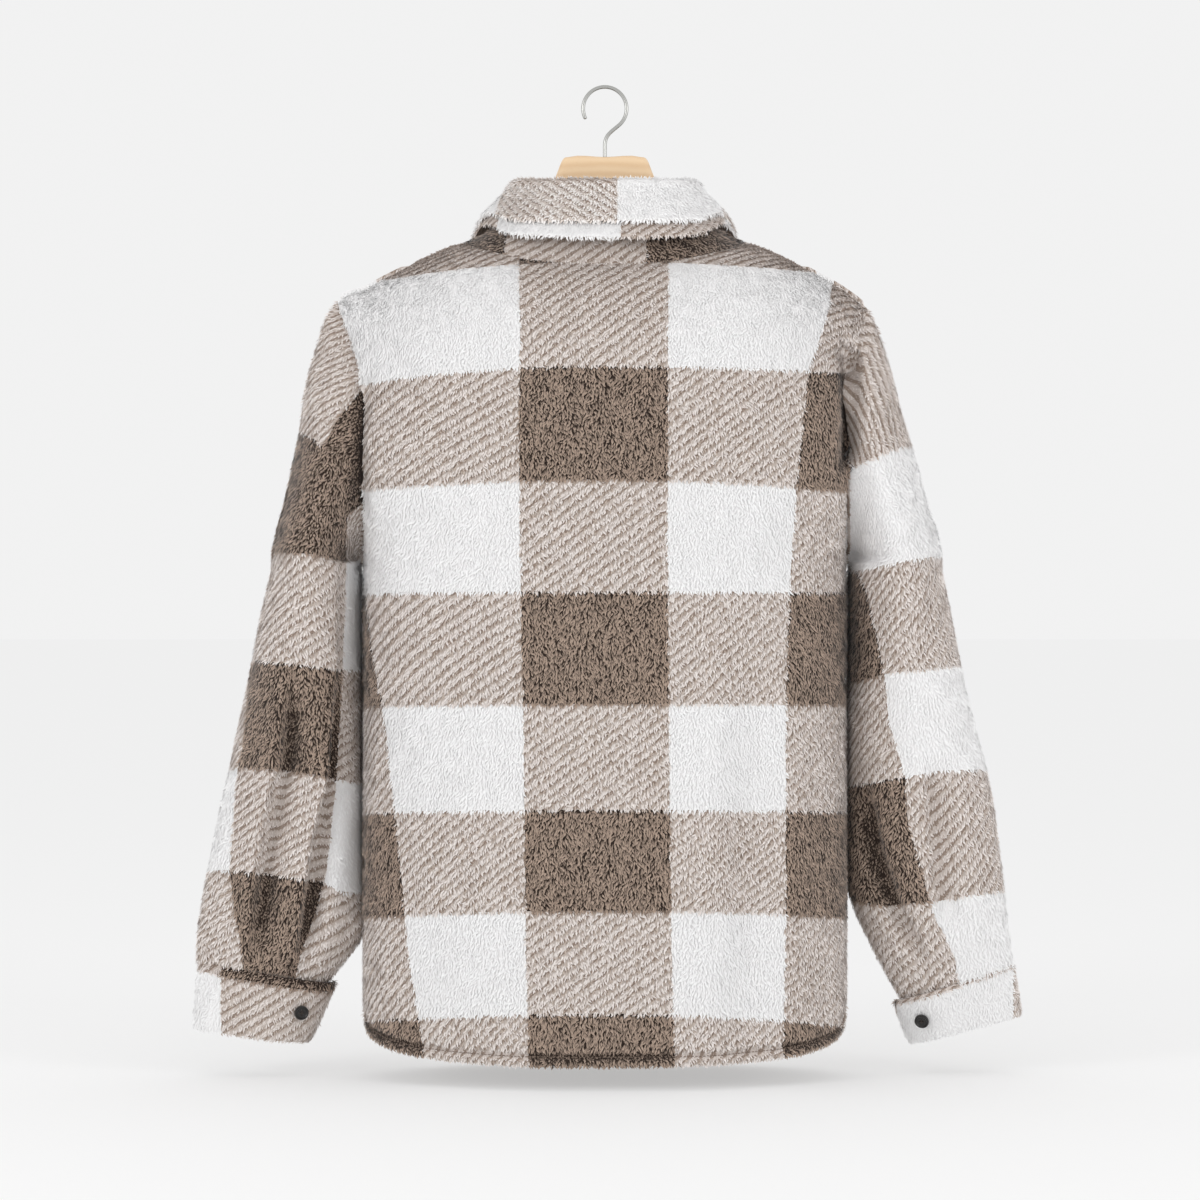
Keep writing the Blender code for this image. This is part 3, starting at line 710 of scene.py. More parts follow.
@dataclass
class Skin:
    """One cut piece of the fleece, as a grid of the points that its pile reaches."""

    name: str
    tips: Array
    facing: Array
    cloth: Array
    wall: float
    pile: float
    closed: bool = False
    root: Array | None = None          # the pile's ground, where it isn't straight below
    inner: Array | None = None
    grow: Array | None = None
    down: int = -1                     # the rows rise (-1) or run down (1)
    edges: tuple[int, ...] = ()        # open edges that pile covers, as rims() counts them

    def ground(self) -> Array:
        """The outside of the knit, where the pile is rooted."""
        return self.tips - self.facing * self.pile if self.root is None else self.root

    def lining(self) -> Array:
        """The bare side of the knit, towards the wearer."""
        return self.tips - self.facing * self.wall if self.inner is None else self.inner

    def nap(self) -> Array:
        """The direction in which the pile was brushed: down the cloth."""
        return unit(self.down * np.gradient(self.tips, axis=0))

    def quads(self, rows: slice = slice(None)) -> Array:
        """Faces of the grid as corner numbers, turned outwards."""
        count, columns = self.tips.shape[:2]
        number = np.arange(count * columns).reshape(count, columns)[rows]
        if self.closed:
            number = np.concatenate([number, number[:, :1]], axis=1)
        quads = np.stack([number[:-1, :-1], number[:-1, 1:], number[1:, 1:], number[1:, :-1]], -1)
        quads = quads.reshape(-1, 4)
        corner = self.tips.reshape(-1, 3)[quads]
        across = np.cross(corner[:, 2] - corner[:, 0], corner[:, 3] - corner[:, 1])
        out = self.facing.reshape(-1, 3)[quads[:, 0]]
        return quads if np.einsum("ij,ij->", across, out) > 0 else quads[:, ::-1]

    def rims(self) -> list[Array]:
        """The open edges of the grid, as runs of point numbers."""
        count, columns = self.tips.shape[:2]
        number = np.arange(count * columns).reshape(count, columns)
        if self.closed:
            number = np.concatenate([number, number[:, :1]], axis=1)
            return [number[0], number[-1][::-1]]
        return [number[0], number[:, -1], number[-1][::-1], number[::-1, 0]]

    def rim_quads(self, runs: Sequence[Array]) -> Array:
        """Faces between the ground and the lining along open edges, turned outwards."""
        count = self.tips.shape[0] * self.tips.shape[1]
        faces = self.quads()
        edges = {pair for k in range(4) for pair in zip(
            faces[:, k].tolist(), faces[:, (k + 1) % 4].tolist())}
        quads = []
        for run in runs:
            for p, q in zip(run[:-1].tolist(), run[1:].tolist()):
                if (p, q) not in edges:
                    p, q = q, p
                quads.append((q, p, p + count, q + count))
        return np.array(quads, dtype=int).reshape(-1, 4)

    def area(self) -> float:
        """Area of the cloth in square metres."""
        corner = self.tips.reshape(-1, 3)[self.quads()]
        across = np.cross(corner[:, 2] - corner[:, 0], corner[:, 3] - corner[:, 1])
        return float(np.linalg.norm(across, axis=1).sum() / 2)

    def size(self) -> tuple[float, float]:
        """Its longest run across and along, in metres."""
        wrapped = np.concatenate([self.tips, self.tips[:, :1]], 1) if self.closed else self.tips
        return float(run_length(wrapped, 1)[:, -1].max()), float(run_length(self.tips, 0)[-1].max())


def placed(name: str, data: Any) -> Any:
    """A new object in the scene."""
    made = bpy.data.objects.new(name, data)
    bpy.context.scene.collection.objects.link(made)
    return made


def evaluated(thing: Any) -> Any:
    """A plain mesh of an object, as its modifiers leave it."""
    view = bpy.context.evaluated_depsgraph_get()
    return bpy.data.meshes.new_from_object(thing.evaluated_get(view), depsgraph=view)


def new_mesh(name: str, points: Array, faces: Array, materials: Sequence[Any]) -> Any:
    """A smooth mesh object in the scene.

    Args:
        name: The object's name.
        points: Its vertices.
        faces: Its faces as corner numbers.
        materials: Its materials.

    Returns:
        The object.
    """
    mesh = bpy.data.meshes.new(name)
    mesh.from_pydata(points.tolist(), [], faces.tolist())
    mesh.shade_smooth()
    for material in materials:
        mesh.materials.append(material)
    return placed(name, mesh)


def put(mesh: Any, name: str, values: Array) -> None:
    """Stores numbers or vectors on a mesh's vertices."""
    values = np.asarray(values, dtype=np.float32)
    kind = "FLOAT" if values.ndim == 1 else "FLOAT_VECTOR"
    attribute = mesh.attributes.new(name, kind, "POINT")
    attribute.data.foreach_set("value" if values.ndim == 1 else "vector", values.ravel())


def take(mesh: Any, name: str, width: int) -> Array:
    """Reads numbers or vectors from a mesh's vertices."""
    values = np.zeros(len(mesh.vertices) * width, dtype=np.float32)
    attribute = mesh.attributes[name]
    attribute.data.foreach_get("value" if width == 1 else "vector", values)
    return values if width == 1 else values.reshape(-1, width)


def baked(thing: Any, tree: Any, inputs: dict[str, Any], name: str) -> Any:
    """Runs a geometry tree on an object and keeps the result as a plain mesh.

    Args:
        thing: The object that the tree reads; it is removed.
        tree: The geometry node tree.
        inputs: Values of the tree's inputs by name.
        name: The new object's name.

    Returns:
        The new object.
    """
    modifier = thing.modifiers.new("grow", "NODES")
    modifier.node_group = tree
    for item in tree.interface.items_tree:
        if item.item_type == "SOCKET" and item.in_out == "INPUT" and item.name in inputs:
            modifier[item.identifier] = inputs[item.name]
    mesh = evaluated(thing)
    mesh.name = name
    bpy.data.objects.remove(thing, do_unlink=True)
    return placed(name, mesh)


class Growth(Graph):
    """A Geometry Nodes tree that makes pieces on a mesh."""

    def __init__(self, name: str, inputs: Sequence[tuple[str, str, Any]]) -> None:
        """Starts the tree.

        Args:
            name: The tree's name.
            inputs: Names, kinds and first values of its inputs beside the mesh.
        """
        super().__init__(bpy.data.node_groups.new(name, "GeometryNodeTree"))
        face = self.tree.interface
        face.new_socket("Geometry", in_out="OUTPUT", socket_type="NodeSocketGeometry")
        face.new_socket("Geometry", in_out="INPUT", socket_type="NodeSocketGeometry")
        for entry, kind, value in inputs:
            socket = face.new_socket(entry, in_out="INPUT", socket_type="NodeSocket" + kind)
            if value is not None:
                socket.default_value = value
        self.given = self.add("NodeGroupInput").outputs

    def vector(self, operation: str, first: Any, second: Any) -> Any:
        """A Vector Math node on two values."""
        key = "Scale" if operation == "SCALE" else 1
        return self.add("ShaderNodeVectorMath", {"operation": operation}, {0: first, key: second})

    def chance(self, low: Any, high: Any, salt: int) -> Any:
        """A random number for each point."""
        seed = self.maths("ADD", self.given["Seed"], float(salt))
        return self.add("FunctionNodeRandomValue", {"data_type": "FLOAT"},
                        {2: low, 3: high, "Seed": seed}).outputs[1]

    def keep(self, geometry: Any, kind: str, **values: Any) -> Any:
        """Stores values of one kind on the points of a geometry, each by its name."""
        for name, value in values.items():
            geometry = self.add("GeometryNodeStoreNamedAttribute", {"data_type": kind, "domain": "POINT"},
                                {"Geometry": geometry, "Name": name, "Value": value})
        return geometry

    def named(self, name: str, kind: str = "FLOAT") -> Any:
        """Reads a value stored on the geometry."""
        return self.add("GeometryNodeInputNamedAttribute", {"data_type": kind}, {"Name": name})

    def position(self) -> Any:
        """The place of each point."""
        return self.add("GeometryNodeInputPosition")

    def copies(self, points: Any, piece: Any, turned: Any, size: Any) -> Any:
        """A piece on every point, as real mesh."""
        copies = self.add("GeometryNodeInstanceOnPoints", None, {
            "Points": points, "Instance": piece, "Rotation": turned, "Scale": size})
        return self.add("GeometryNodeRealizeInstances", None, {"Geometry": copies})

    def closed(self, geometry: Any) -> Any:
        """The tree, giving out this geometry in the finish it was given."""
        dressed = self.add("GeometryNodeSetMaterial", None,
                           {"Geometry": geometry, "Material": self.given["Finish"]})
        self.add("NodeGroupOutput", None, {0: dressed})
        return self.tree


@dataclass
class PileGrower:
    """Grows the fleece's pile: short pointed locks that lie down in swirls."""

    lock_mm: float = 5.5               # length of a lock
    lock_spread: tuple[float, float] = (0.72, 1.18)      # of that length
    width_mm: float = 1.75
    width_spread: tuple[float, float] = (0.75, 1.25)
    widest: float = 0.40               # height of a lock's widest place, of its length
    lean_deg: float = 31.0             # from the knit up to the lock's root
    lean_spread: tuple[float, float] = (0.7, 1.35)
    droop: float = 0.16                # the tips bend back by this share
    curl: float = 0.34                 # and aside by up to this share
    swirl_deg: float = 60.0            # how far the swirls turn the nap
    swirl_gain: float = 3.0            # noise keeps near its middle, and is spread by this
    swirl_mm: float = 11.0
    stray_deg: float = 20.0
    light_stripe: float = 0.98         # length of a lock on a white or a brown stripe,
    dark_stripe: float = 0.76          # against one on a plain block
    crease_shade_tone: float = 1.6          # painted shade: pile pressed down in creases, grooves and seams is darker
    most_roots: float = 9e5            # in a square metre
    round_normals: float = 0.42        # how round a lock looks across
    seed: int = 7
    tree: Any = None

    def inputs(self) -> list[tuple[str, str, Any]]:
        """Names, kinds and values of the tree's inputs."""
        return [
            ("Spacing", "Float", 2.0 * MM),
            ("Lock Length", "Float", self.lock_mm * MM),
            ("Lock Width", "Float", self.width_mm * MM),
            ("Lean", "Float", radians(self.lean_deg)),
            ("Droop", "Float", self.droop),
            ("Curl", "Float", self.curl),
            ("Swirl", "Float", radians(self.swirl_deg)),
            ("Swirl Scale", "Float", 1 / (self.swirl_mm * MM)),
            ("Stray", "Float", radians(self.stray_deg)),
            ("Light Stripe", "Float", self.light_stripe),
            ("Dark Stripe", "Float", self.dark_stripe),
            ("Seed", "Int", self.seed),
            ("Finish", "Material", None),
        ]

    def build(self) -> Any:
        """The geometry tree, made once."""
        if self.tree:
            return self.tree
        graph = Growth("fleece_pile", self.inputs())
        given, maths, vector = graph.given, graph.maths, graph.vector
        scatter = graph.add("GeometryNodeDistributePointsOnFaces", {"distribute_method": "POISSON"}, {
            "Mesh": given["Geometry"], "Distance Min": given["Spacing"], "Density Max": self.most_roots,
            "Density Factor": graph.named("cover"), "Seed": given["Seed"]})
        skin = scatter.outputs["Normal"]
        across, level = self.nap(graph, skin)
        low, high = self.lean_spread
        lean = graph.chance(maths("MULTIPLY", given["Lean"], low), maths("MULTIPLY", given["Lean"], high), 2)
        rise, run = maths("SINE", lean), maths("COSINE", lean)
        growth = vector("ADD", vector("SCALE", level, run), vector("SCALE", skin, rise))
        broad = vector("SUBTRACT", vector("SCALE", skin, run), vector("SCALE", level, rise))
        turned = graph.add("FunctionNodeAxesToRotation", {"primary_axis": "Z", "secondary_axis": "Y"},
                           {0: broad, 1: growth})
        brown, mixed = Weave().lay(graph, graph.named("cloth", "FLOAT_VECTOR"), graph.position())
        tall = self.length(graph, brown, mixed)
        wide = maths("MULTIPLY", given["Lock Width"], graph.chance(*self.width_spread, 4))
        size = graph.add("ShaderNodeCombineXYZ", None, {0: wide, 1: tall, 2: 1.0})
        bend = maths("MULTIPLY", given["Curl"], graph.chance(-1.0, 1.0, 5))
        fall = vector("SCALE", skin, maths("MULTIPLY", given["Droop"], -1.0))
        shift = vector("SCALE", vector("ADD", vector("SCALE", across, bend), fall), tall)
        # Painted shade: a lock's tone is lowered where its pile grows shorter, in creases, the hem's groove
        # and edge, the shoulder seam and the sleeve's tucked allowance.
        pressed_and_shaded = maths("MULTIPLY_ADD", graph.named("grow"), self.crease_shade_tone, -self.crease_shade_tone)
        tone = maths("ADD", graph.chance(0.0, 1.0, 6), pressed_and_shaded)
        points = graph.keep(scatter.outputs["Points"], "FLOAT_VECTOR", skin=skin, across=across, shift=shift)
        points = graph.keep(points, "FLOAT", tone=tone, brown=brown, mixed=mixed)
        locks = graph.copies(points, self.lock(graph), turned, size)
        height = graph.named("rise").outputs[0]
        bent = vector("SCALE", graph.named("shift", "FLOAT_VECTOR"), maths("MULTIPLY", height, height))
        locks = graph.add("GeometryNodeSetPosition", None, {"Geometry": locks, "Offset": bent})
        self.tree = graph.closed(locks)
        return self.tree

    def nap(self, graph: Growth, skin: Any) -> tuple[Any, Any]:
        """The brushed nap, turned in swirls.

        Args:
            graph: The tree.
            skin: The cloth's normal at each lock.

        Returns:
            The directions across a lock and along it, level with the cloth.
        """
        given, maths, vector = graph.given, graph.maths, graph.vector
        swirls = graph.noise(graph.position(), given["Swirl Scale"], 2.0)
        turn = maths("MULTIPLY", maths("SUBTRACT", swirls, 0.5), given["Swirl"])
        stray = graph.chance(maths("MULTIPLY", given["Stray"], -1.0), given["Stray"], 1)
        turn = maths("ADD", maths("MULTIPLY", turn, self.swirl_gain), stray)
        combed = graph.add("ShaderNodeVectorRotate", {"rotation_type": "AXIS_ANGLE"}, {
            "Vector": graph.named("nap", "FLOAT_VECTOR"), "Axis": skin, "Angle": turn})
        across = vector("NORMALIZE", vector("CROSS_PRODUCT", combed, skin), (0, 0, 0))
        return across, vector("CROSS_PRODUCT", skin, across)

    def length(self, graph: Growth, brown: Any, mixed: Any) -> Any:
        """Each lock's length: its own chance, the cloth's growth and the stripe it is on."""
        given, maths = graph.given, graph.maths
        tall = maths("MULTIPLY", given["Lock Length"], graph.chance(*self.lock_spread, 3))
        tall = maths("MULTIPLY", tall, graph.named("grow"))
        stripe = graph.add("ShaderNodeMix", {"data_type": "FLOAT"},
                           {0: brown, 2: given["Light Stripe"], 3: given["Dark Stripe"]})
        share = graph.add("ShaderNodeMix", {"data_type": "FLOAT"}, {0: mixed, 2: 1.0, 3: stripe})
        return maths("MULTIPLY", tall, share)

    def lock(self, graph: Growth) -> Any:
        """One lock, as a kite: two of a square's corners are its root and its tip."""
        maths = graph.maths
        square = graph.add("GeometryNodeMeshGrid", None,
                           {"Size X": 1.0, "Size Y": 1.0, "Vertices X": 2, "Vertices Y": 2})
        u, v, _ = graph.apart(graph.vector("ADD", graph.position(), (0.5, 0.5, 0.0)))
        aside = maths("SUBTRACT", u, v)
        up = maths("MULTIPLY_ADD", u, v, maths("MULTIPLY", maths("ABSOLUTE", aside), self.widest))
        place = graph.add("ShaderNodeCombineXYZ", None, {0: maths("MULTIPLY", aside, 0.5), 1: up})
        blade = graph.keep(square.outputs["Mesh"], "FLOAT_VECTOR", place=place)
        blade = graph.keep(blade, "FLOAT", rise=up, flank=aside)
        return graph.add("GeometryNodeSetPosition", None, {
            "Geometry": blade, "Position": graph.named("place", "FLOAT_VECTOR")})

    def grow(self, skin: Skin, material: Any, spacing_mm: float, parts: int = 1,
             scale: float = 1.0) -> list[Any]:
        """Grows the pile of one piece of cloth.

        Args:
            skin: The cloth.
            material: The pile's finish.
            spacing_mm: Least distance between two roots.
            parts: How many pieces the pile is kept in, from edge to edge.
            scale: Size of its locks, against the usual.

        Returns:
            The pieces of pile.
        """
        grow = np.ones(skin.tips.shape[:2]) if skin.grow is None else skin.grow
        cuts = np.linspace(0, len(grow) - 1, parts + 1).round().astype(int)
        runs = [run for number, run in enumerate(skin.rims()) if number in skin.edges]
        rim = skin.rim_quads(runs)
        points = np.concatenate([skin.ground().reshape(-1, 3), skin.lining().reshape(-1, 3)])
        made = []
        for k, (first, last) in enumerate(zip(cuts[:-1], cuts[1:])):
            name = f"{skin.name}_pile" + (f"_{k + 1}" if parts > 1 else "")
            rows = np.arange(grow.size).reshape(grow.shape)[first:last]
            edge = rim[np.isin(rim[:, 0], rows)] if parts > 1 else rim
            faces = np.concatenate([skin.quads(slice(first, last + 1)), edge])
            scalp = new_mesh(name + "_root", points, faces, [])
            for key, values in (("nap", skin.nap()), ("grow", grow), ("cover", np.ones_like(grow)),
                                ("cloth", skin.cloth)):
                values = values.reshape(grow.size, -1).squeeze()
                put(scalp.data, key, np.concatenate([values, values]))
            pile = baked(scalp, self.build(), {
                "Spacing": spacing_mm * MM, "Lock Length": self.lock_mm * MM * scale,
                "Lock Width": self.width_mm * MM * scale, "Seed": self.seed + k,
                "Finish": material}, name)
            self.soften(pile.data)
            made.append(pile)
        return made

    def soften(self, mesh: Any) -> None:
        """Rounds the shading of each lock across, towards the cloth's own normal."""
        mesh.shade_smooth()
        skin, across = take(mesh, "skin", 3), take(mesh, "across", 3)
        flank = take(mesh, "flank", 1)
        own = np.zeros(len(mesh.vertices) * 3, dtype=np.float32)
        mesh.vertex_normals.foreach_get("vector", own)
        facing = own.reshape(-1, 3) + skin + self.round_normals * flank[:, None] * across
        for name in ("skin", "across", "shift", "flank", "place", "nap", "grow", "cover", "cloth"):
            if name in mesh.attributes:
                mesh.attributes.remove(mesh.attributes[name])
        mesh.normals_split_custom_set_from_vertices(unit(facing).tolist())


# ---- the jacket ---------------------------------------------------------------
@dataclass
class Torso:
    """The back and the two fronts, hanging from the shoulders."""

    wall: float = 6.0 * MM
    pile: float = 3.0 * MM
    seam_gap: float = 0.3 * MM
    lap: float = 0.0165
    lap_rise: float = 0.0066
    lap_ramp: tuple[float, float] = (0.034, 0.066)
    hem_centre_z: float = -0.8747
    hem_side_rise: float = 0.0270
    hem_power: float = 2.7
    hem_corner_rise: float = 0.0090
    hem_corner_power: float = 14.0
    underarm_z: float = -0.4277
    tip_z: float = -0.1975
    tip_x: float = 0.2400
    armhole_half_depth: float = 0.056
    armhole_power: float = 0.7
    neck_half_width: float = 0.1300
    neck_side_z: float = -0.1385
    neck_drop_back: float = 0.0231
    neck_drop_front: float = 0.0750
    neck_power_back: float = 2.5
    neck_power_front: tuple[float, float] = (2.4, 0.8)
    shoulder_round: float = 0.105
    ridge_slope: float = 0.52
    ridge_soft: float = 0.016
    tip_drop: float = 0.006
    tip_drop_length: float = 0.045
    hem_rows_mm: tuple[float, ...] = (
        0.0, 1.5, 3.0, 5.0, 7.0, 8.6, 9.8, 10.8, 12.0, 13.4, 15.5, 19.0, 24.0)
    low_from: float = 0.031            # the even rows begin this far above the hem
    low_rows: int = 44
    arm_rows: int = 34
    stitch_up: float = 10.5 * MM       # from the hem's edge to its row of stitches
    stitch_lift: float = 1.4 * MM      # from the knit up to the thread
    groove: tuple[float, float, float] = (3.0 * MM, 2.4 * MM, 0.4)   # depth, half width, loss of pile
    edge: tuple[float, float, float] = (1.4 * MM, 2.6 * MM, 0.1)     # the same of the hem's edge
    seam_roll: float = 2.4 * MM        # the fronts' shoulders lie this far below the back's
    seam_roll_half: float = 8.0 * MM
    shear: float = 0.7                 # loss of the fronts' pile at the shoulder seam
    shear_half: float = 6.0 * MM
    clear_root: float = 0.7 * MM       # each layer keeps its own distance from a seam,
    clear_tips: float = 1.0 * MM       # so that no two of them meet there
    level_bend: tuple[float, float] = (0.215, 2.2)   # x where level lines reach their side's height,
    # and the power of their bend
    front_column_mm: float = 165.0     # so that a white column ends each shoulder
    form: Table = field(default_factory=lambda: Table(
        "z breadth back front square",
        (-0.880, 0.2215, 0.117, 0.110, 2.5),
        (-0.700, 0.2215, 0.121, 0.114, 2.5),
        (-0.550, 0.2210, 0.123, 0.115, 2.6),
        (-0.4277, 0.2206, 0.121, 0.112, 2.9),
        (-0.395, 0.2190, 0.118, 0.108, 3.1),
        (-0.340, 0.2186, 0.113, 0.103, 3.2),
        (-0.275, 0.2190, 0.107, 0.098, 3.2),
        (-0.235, 0.2285, 0.104, 0.095, 3.1),
        (-0.1975, 0.2400, 0.101, 0.093, 3.0),
        (-0.130, 0.2400, 0.097, 0.091, 2.8)))
    folds: tuple[tuple[float, ...], ...] = (
        # side, x, half width, rise and where it starts below
        (-1, 0.092, 0.024, 0.0035, -0.500),
        (-1, 0.136, 0.020, -0.0045, -0.480),
        (-1, -0.150, 0.032, -0.0035, -0.560),
        (-1, -0.060, 0.040, 0.0020, -0.620),
        (1, 0.080, 0.026, 0.0030, -0.540),
        (1, 0.135, 0.026, -0.0040, -0.500))
    fold_fade: float = 0.160
    upright_lines: Table = field(default_factory=lambda: Table(
        "z outer_left left right outer_right",
        (-0.868, -0.1605, -0.0686, 0.0620, 0.1580),
        (-0.829, -0.1650, -0.0690, 0.0612, 0.1584),
        (-0.788, -0.1725, -0.0697, 0.0596, 0.1592),
        (-0.738, -0.1780, -0.0704, 0.0585, 0.1599),
        (-0.649, -0.1866, -0.0713, 0.0572, 0.1600),
        (-0.555, -0.1980, -0.0726, 0.0563, 0.1602),
        (-0.513, -0.2068, -0.0732, 0.0559, 0.1618),
        (-0.457, -0.2140, -0.0739, 0.0554, 0.1637),
        (-0.360, -0.2226, -0.0748, 0.0554, 0.1700),
        (-0.262, -0.2330, -0.0748, 0.0554, 0.1806),
        (-0.210, -0.2380, -0.0748, 0.0554, 0.1985),
        (-0.150, -0.2400, -0.0748, 0.0554, 0.2060)))
    # Level lines of the check: their number, and height at the left, centre and right.
    level_lines: tuple[tuple[float, ...], ...] = (
        (7, -0.8340, -0.8283, -0.8390),
        (6, -0.7430, -0.7377, -0.7430),
        (5, -0.6510, -0.6488, -0.6500),
        (4, -0.5575, -0.5555, -0.5555),
        (3, -0.4580, -0.4561, -0.4570),
        (2, -0.3670, -0.3575, -0.3690),
        (1, -0.2740, -0.2572, -0.2645),
        (0, -0.1840, -0.1640, -0.1770))
    creases: tuple[Crease, ...] = (
        # a soft fold over the seat on the right, with its valley
        Crease(((0.0924, -0.4700), (0.0942, -0.6400), (0.0959, -0.8600)), 3.2, 16, 12, fade_mm=110),
        Crease(((0.1320, -0.4900), (0.1294, -0.6400), (0.1258, -0.8600)), -4.4, 15, 15, fade_mm=110),
        Crease(((0.1690, -0.5600), (0.1660, -0.7000), (0.1640, -0.8600)), 3.0, 15, 15, fade_mm=90),
        # from the left underarm towards the seat, and at the blades
        Crease(((-0.1960, -0.5400), (-0.1800, -0.6500), (-0.1610, -0.8600)), -1.8, 16, 20, fade_mm=90),
        Crease(((-0.2050, -0.3700), (-0.1500, -0.4100), (-0.1050, -0.4700)), -1.6, 22, 18, fade_mm=70),
        Crease(((0.1950, -0.3500), (0.1600, -0.4200), (0.1350, -0.5000)), -1.8, 18, 22, fade_mm=80),
        Crease(((-0.1300, -0.2000), (-0.1500, -0.2900), (-0.1500, -0.3800)), 1.4, 26, 22, fade_mm=90),
        Crease(((0.1200, -0.1950), (0.1250, -0.2800), (0.1180, -0.3700)), 1.3, 26, 24, fade_mm=90),
        # the fronts hang with folds of the same kind
        Crease(((-0.1000, -0.4300), (-0.1080, -0.6000), (-0.1150, -0.8500)), -2.4, 18, 22, Face.FRONT, 120),
        Crease(((0.0900, -0.3900), (0.1050, -0.5500), (0.1200, -0.8500)), -2.2, 22, 17, Face.FRONT, 120),
        Crease(((-0.1500, -0.5000), (-0.1480, -0.6700), (-0.1600, -0.8500)), 2.0, 20, 16, Face.FRONT, 100),
        Crease(((0.1650, -0.4600), (0.1600, -0.6200), (0.1700, -0.8400)), 1.8, 18, 20, Face.FRONT, 100),
        Crease(((-0.1900, -0.3500), (-0.1450, -0.3900), (-0.0900, -0.4000)), -1.8, 16, 20, Face.FRONT, 60),
        Crease(((0.1950, -0.3400), (0.1500, -0.3900), (0.1050, -0.4250)), -1.8, 20, 16, Face.FRONT, 60))

    # Hollows where the sleeves tuck behind the back, and the rounded left shoulder: what
    # crosses the armhole seam moves both pieces one way, so that the seam stays shut.
    seam_creases: tuple[Crease, ...] = (
        Crease(((0.2110, -0.2330), (0.2150, -0.2493), (0.2155, -0.2722), (0.2140, -0.3021),
                (0.2135, -0.3232), (0.2116, -0.3440)), 26.0, 4, 7, fade_mm=20, way=(0.0, 1.0, 0.0)),
        Crease(((-0.2140, -0.2650), (-0.2150, -0.3200), (-0.2140, -0.3850)), 9.0, 6, 5,
               fade_mm=22, way=(0.0, 1.0, 0.0)),
        Crease(((-0.2100, -0.1880), (-0.2380, -0.2050), (-0.2520, -0.2450)), 8.0, 24, 24, None, 26,
               way=(-0.6, 0.0, 0.8)))

    def ridge(self, x: Any) -> Array:
        """Height of the shoulder line at x."""
        def fall(at: Any) -> Array:
            """Fall of the line past the neck."""
            return self.ridge_slope * self.ridge_soft * np.log1p(
                np.exp((at - self.neck_half_width) / self.ridge_soft))

        x = np.abs(x)
        tip = self.tip_drop * np.clip(1 - (self.tip_x - x) / self.tip_drop_length, 0, None) ** 2
        scale = (self.neck_side_z - self.tip_z - self.tip_drop) / (
            fall(self.tip_x) - fall(self.neck_half_width))
        return self.neck_side_z - scale * (fall(x) - fall(self.neck_half_width)) - tip

    def top(self, x: Array, face: Face) -> Array:
        """Top edge of a panel: the shoulder line, and the neckline between its ends."""
        share = np.clip(np.abs(x) / self.neck_half_width, 0, 1)
        if face is Face.BACK:
            dip = self.neck_drop_back * (1 - share**self.neck_power_back)
        else:
            along, down = self.neck_power_front
            dip = self.neck_drop_front * (1 - share**along) ** down
        return np.where(np.abs(x) < self.neck_half_width, self.neck_side_z - dip, self.ridge(x))

    def rounding(self, below: Array) -> Array:
        """Share of the full depth at a distance below the shoulder line."""
        return np.sqrt(1 - (1 - np.clip(below / self.shoulder_round, 0, 1)) ** 2)

    def armhole(self, z: Any) -> Array:
        """Half depth of the armhole at a height."""
        rise = np.clip((z - self.underarm_z) / (self.tip_z - self.underarm_z), 0, 1)
        return self.armhole_half_depth * np.sin(pi * rise) ** self.armhole_power

    def points(self, a: Array, z: Array, face: Face) -> Array:
        """Points of the back or the fronts.

        Args:
            a: From 0 at the centre to 1 at the side seam or the armhole.
            z: Heights.
            face: The back or the front.

        Returns:
            x, y and z along the last axis.
        """
        breadth = self.form.read("breadth", z)
        depth = self.form.read(face.name.lower(), z)
        square = self.form.read("square", z)
        x = breadth * np.sin(a * pi / 2)
        side_depth = depth * self.rounding(self.ridge(breadth) - z) + 1e-9
        opened = np.clip(self.armhole(z) / side_depth, 0, 0.98)
        widest = (1 - opened**2) ** (1 / square)
        section = (1 - np.clip(np.abs(np.sin(a * pi / 2)) * widest, 0, 1) ** square) ** 0.5
        folds = 0.0
        for side, middle, half, rise, start in self.folds:
            if side == face.value:
                folds = folds + rise * bell(x - middle, half) * ease((start - z) / self.fold_fade)
        y = face.value * (depth * self.rounding(self.ridge(x) - z) + folds) * section
        return np.stack([x, y, z], axis=-1)

    def rows(self) -> Array:
        """Heights of the rows, as shares of the side's height."""
        hem = self.hem_centre_z + self.hem_side_rise + self.hem_corner_rise
        near = hem + np.array(self.hem_rows_mm) * MM
        low = np.concatenate([near, np.linspace(hem + self.low_from, self.underarm_z, self.low_rows)])
        turn = np.linspace(0, pi, self.arm_rows + 1)[1:]
        high = self.underarm_z + (self.tip_z - self.underarm_z) * (1 - np.cos(turn)) / 2
        return (np.concatenate([low, high]) - hem) / (self.tip_z - hem)

    def panel(self, columns: Array, face: Face) -> Array:
        """A panel's grid, from the hem up."""
        a, share = columns[None, :], self.rows()[:, None]
        hem = (self.hem_centre_z + self.hem_side_rise * np.abs(a) ** self.hem_power
               + self.hem_corner_rise * np.abs(a) ** self.hem_corner_power)
        top = self.top(self.tip_x * np.sin(a * pi / 2), face)
        return self.points(a + 0 * share, hem + (top - hem) * share, face)

    def numbers(self, tips: Array) -> Array:
        """Check numbers of the back, as the photograph's lines lie on it."""
        seen = as_seen(tips)
        gaps = [seen[..., 0] - self.upright_lines.straight(name, seen[..., 1])
                for name in ("outer_left", "left", "right", "outer_right")]
        columns = numbered(run_length(tips, 1), gaps, (-1, 0, 1, 2), 1000 / COLUMN_MM)
        reach, power = self.level_bend
        share = np.abs(seen[..., 0] / reach) ** power
        gaps = []
        for _, left, centre, right in self.level_lines:
            side = np.where(seen[..., 0] < 0, left, right)
            gaps.append(seen[..., 1] - centre - (side - centre) * share)
        return twilled(np.stack([columns, self.row_numbers(tips, gaps)], axis=-1))

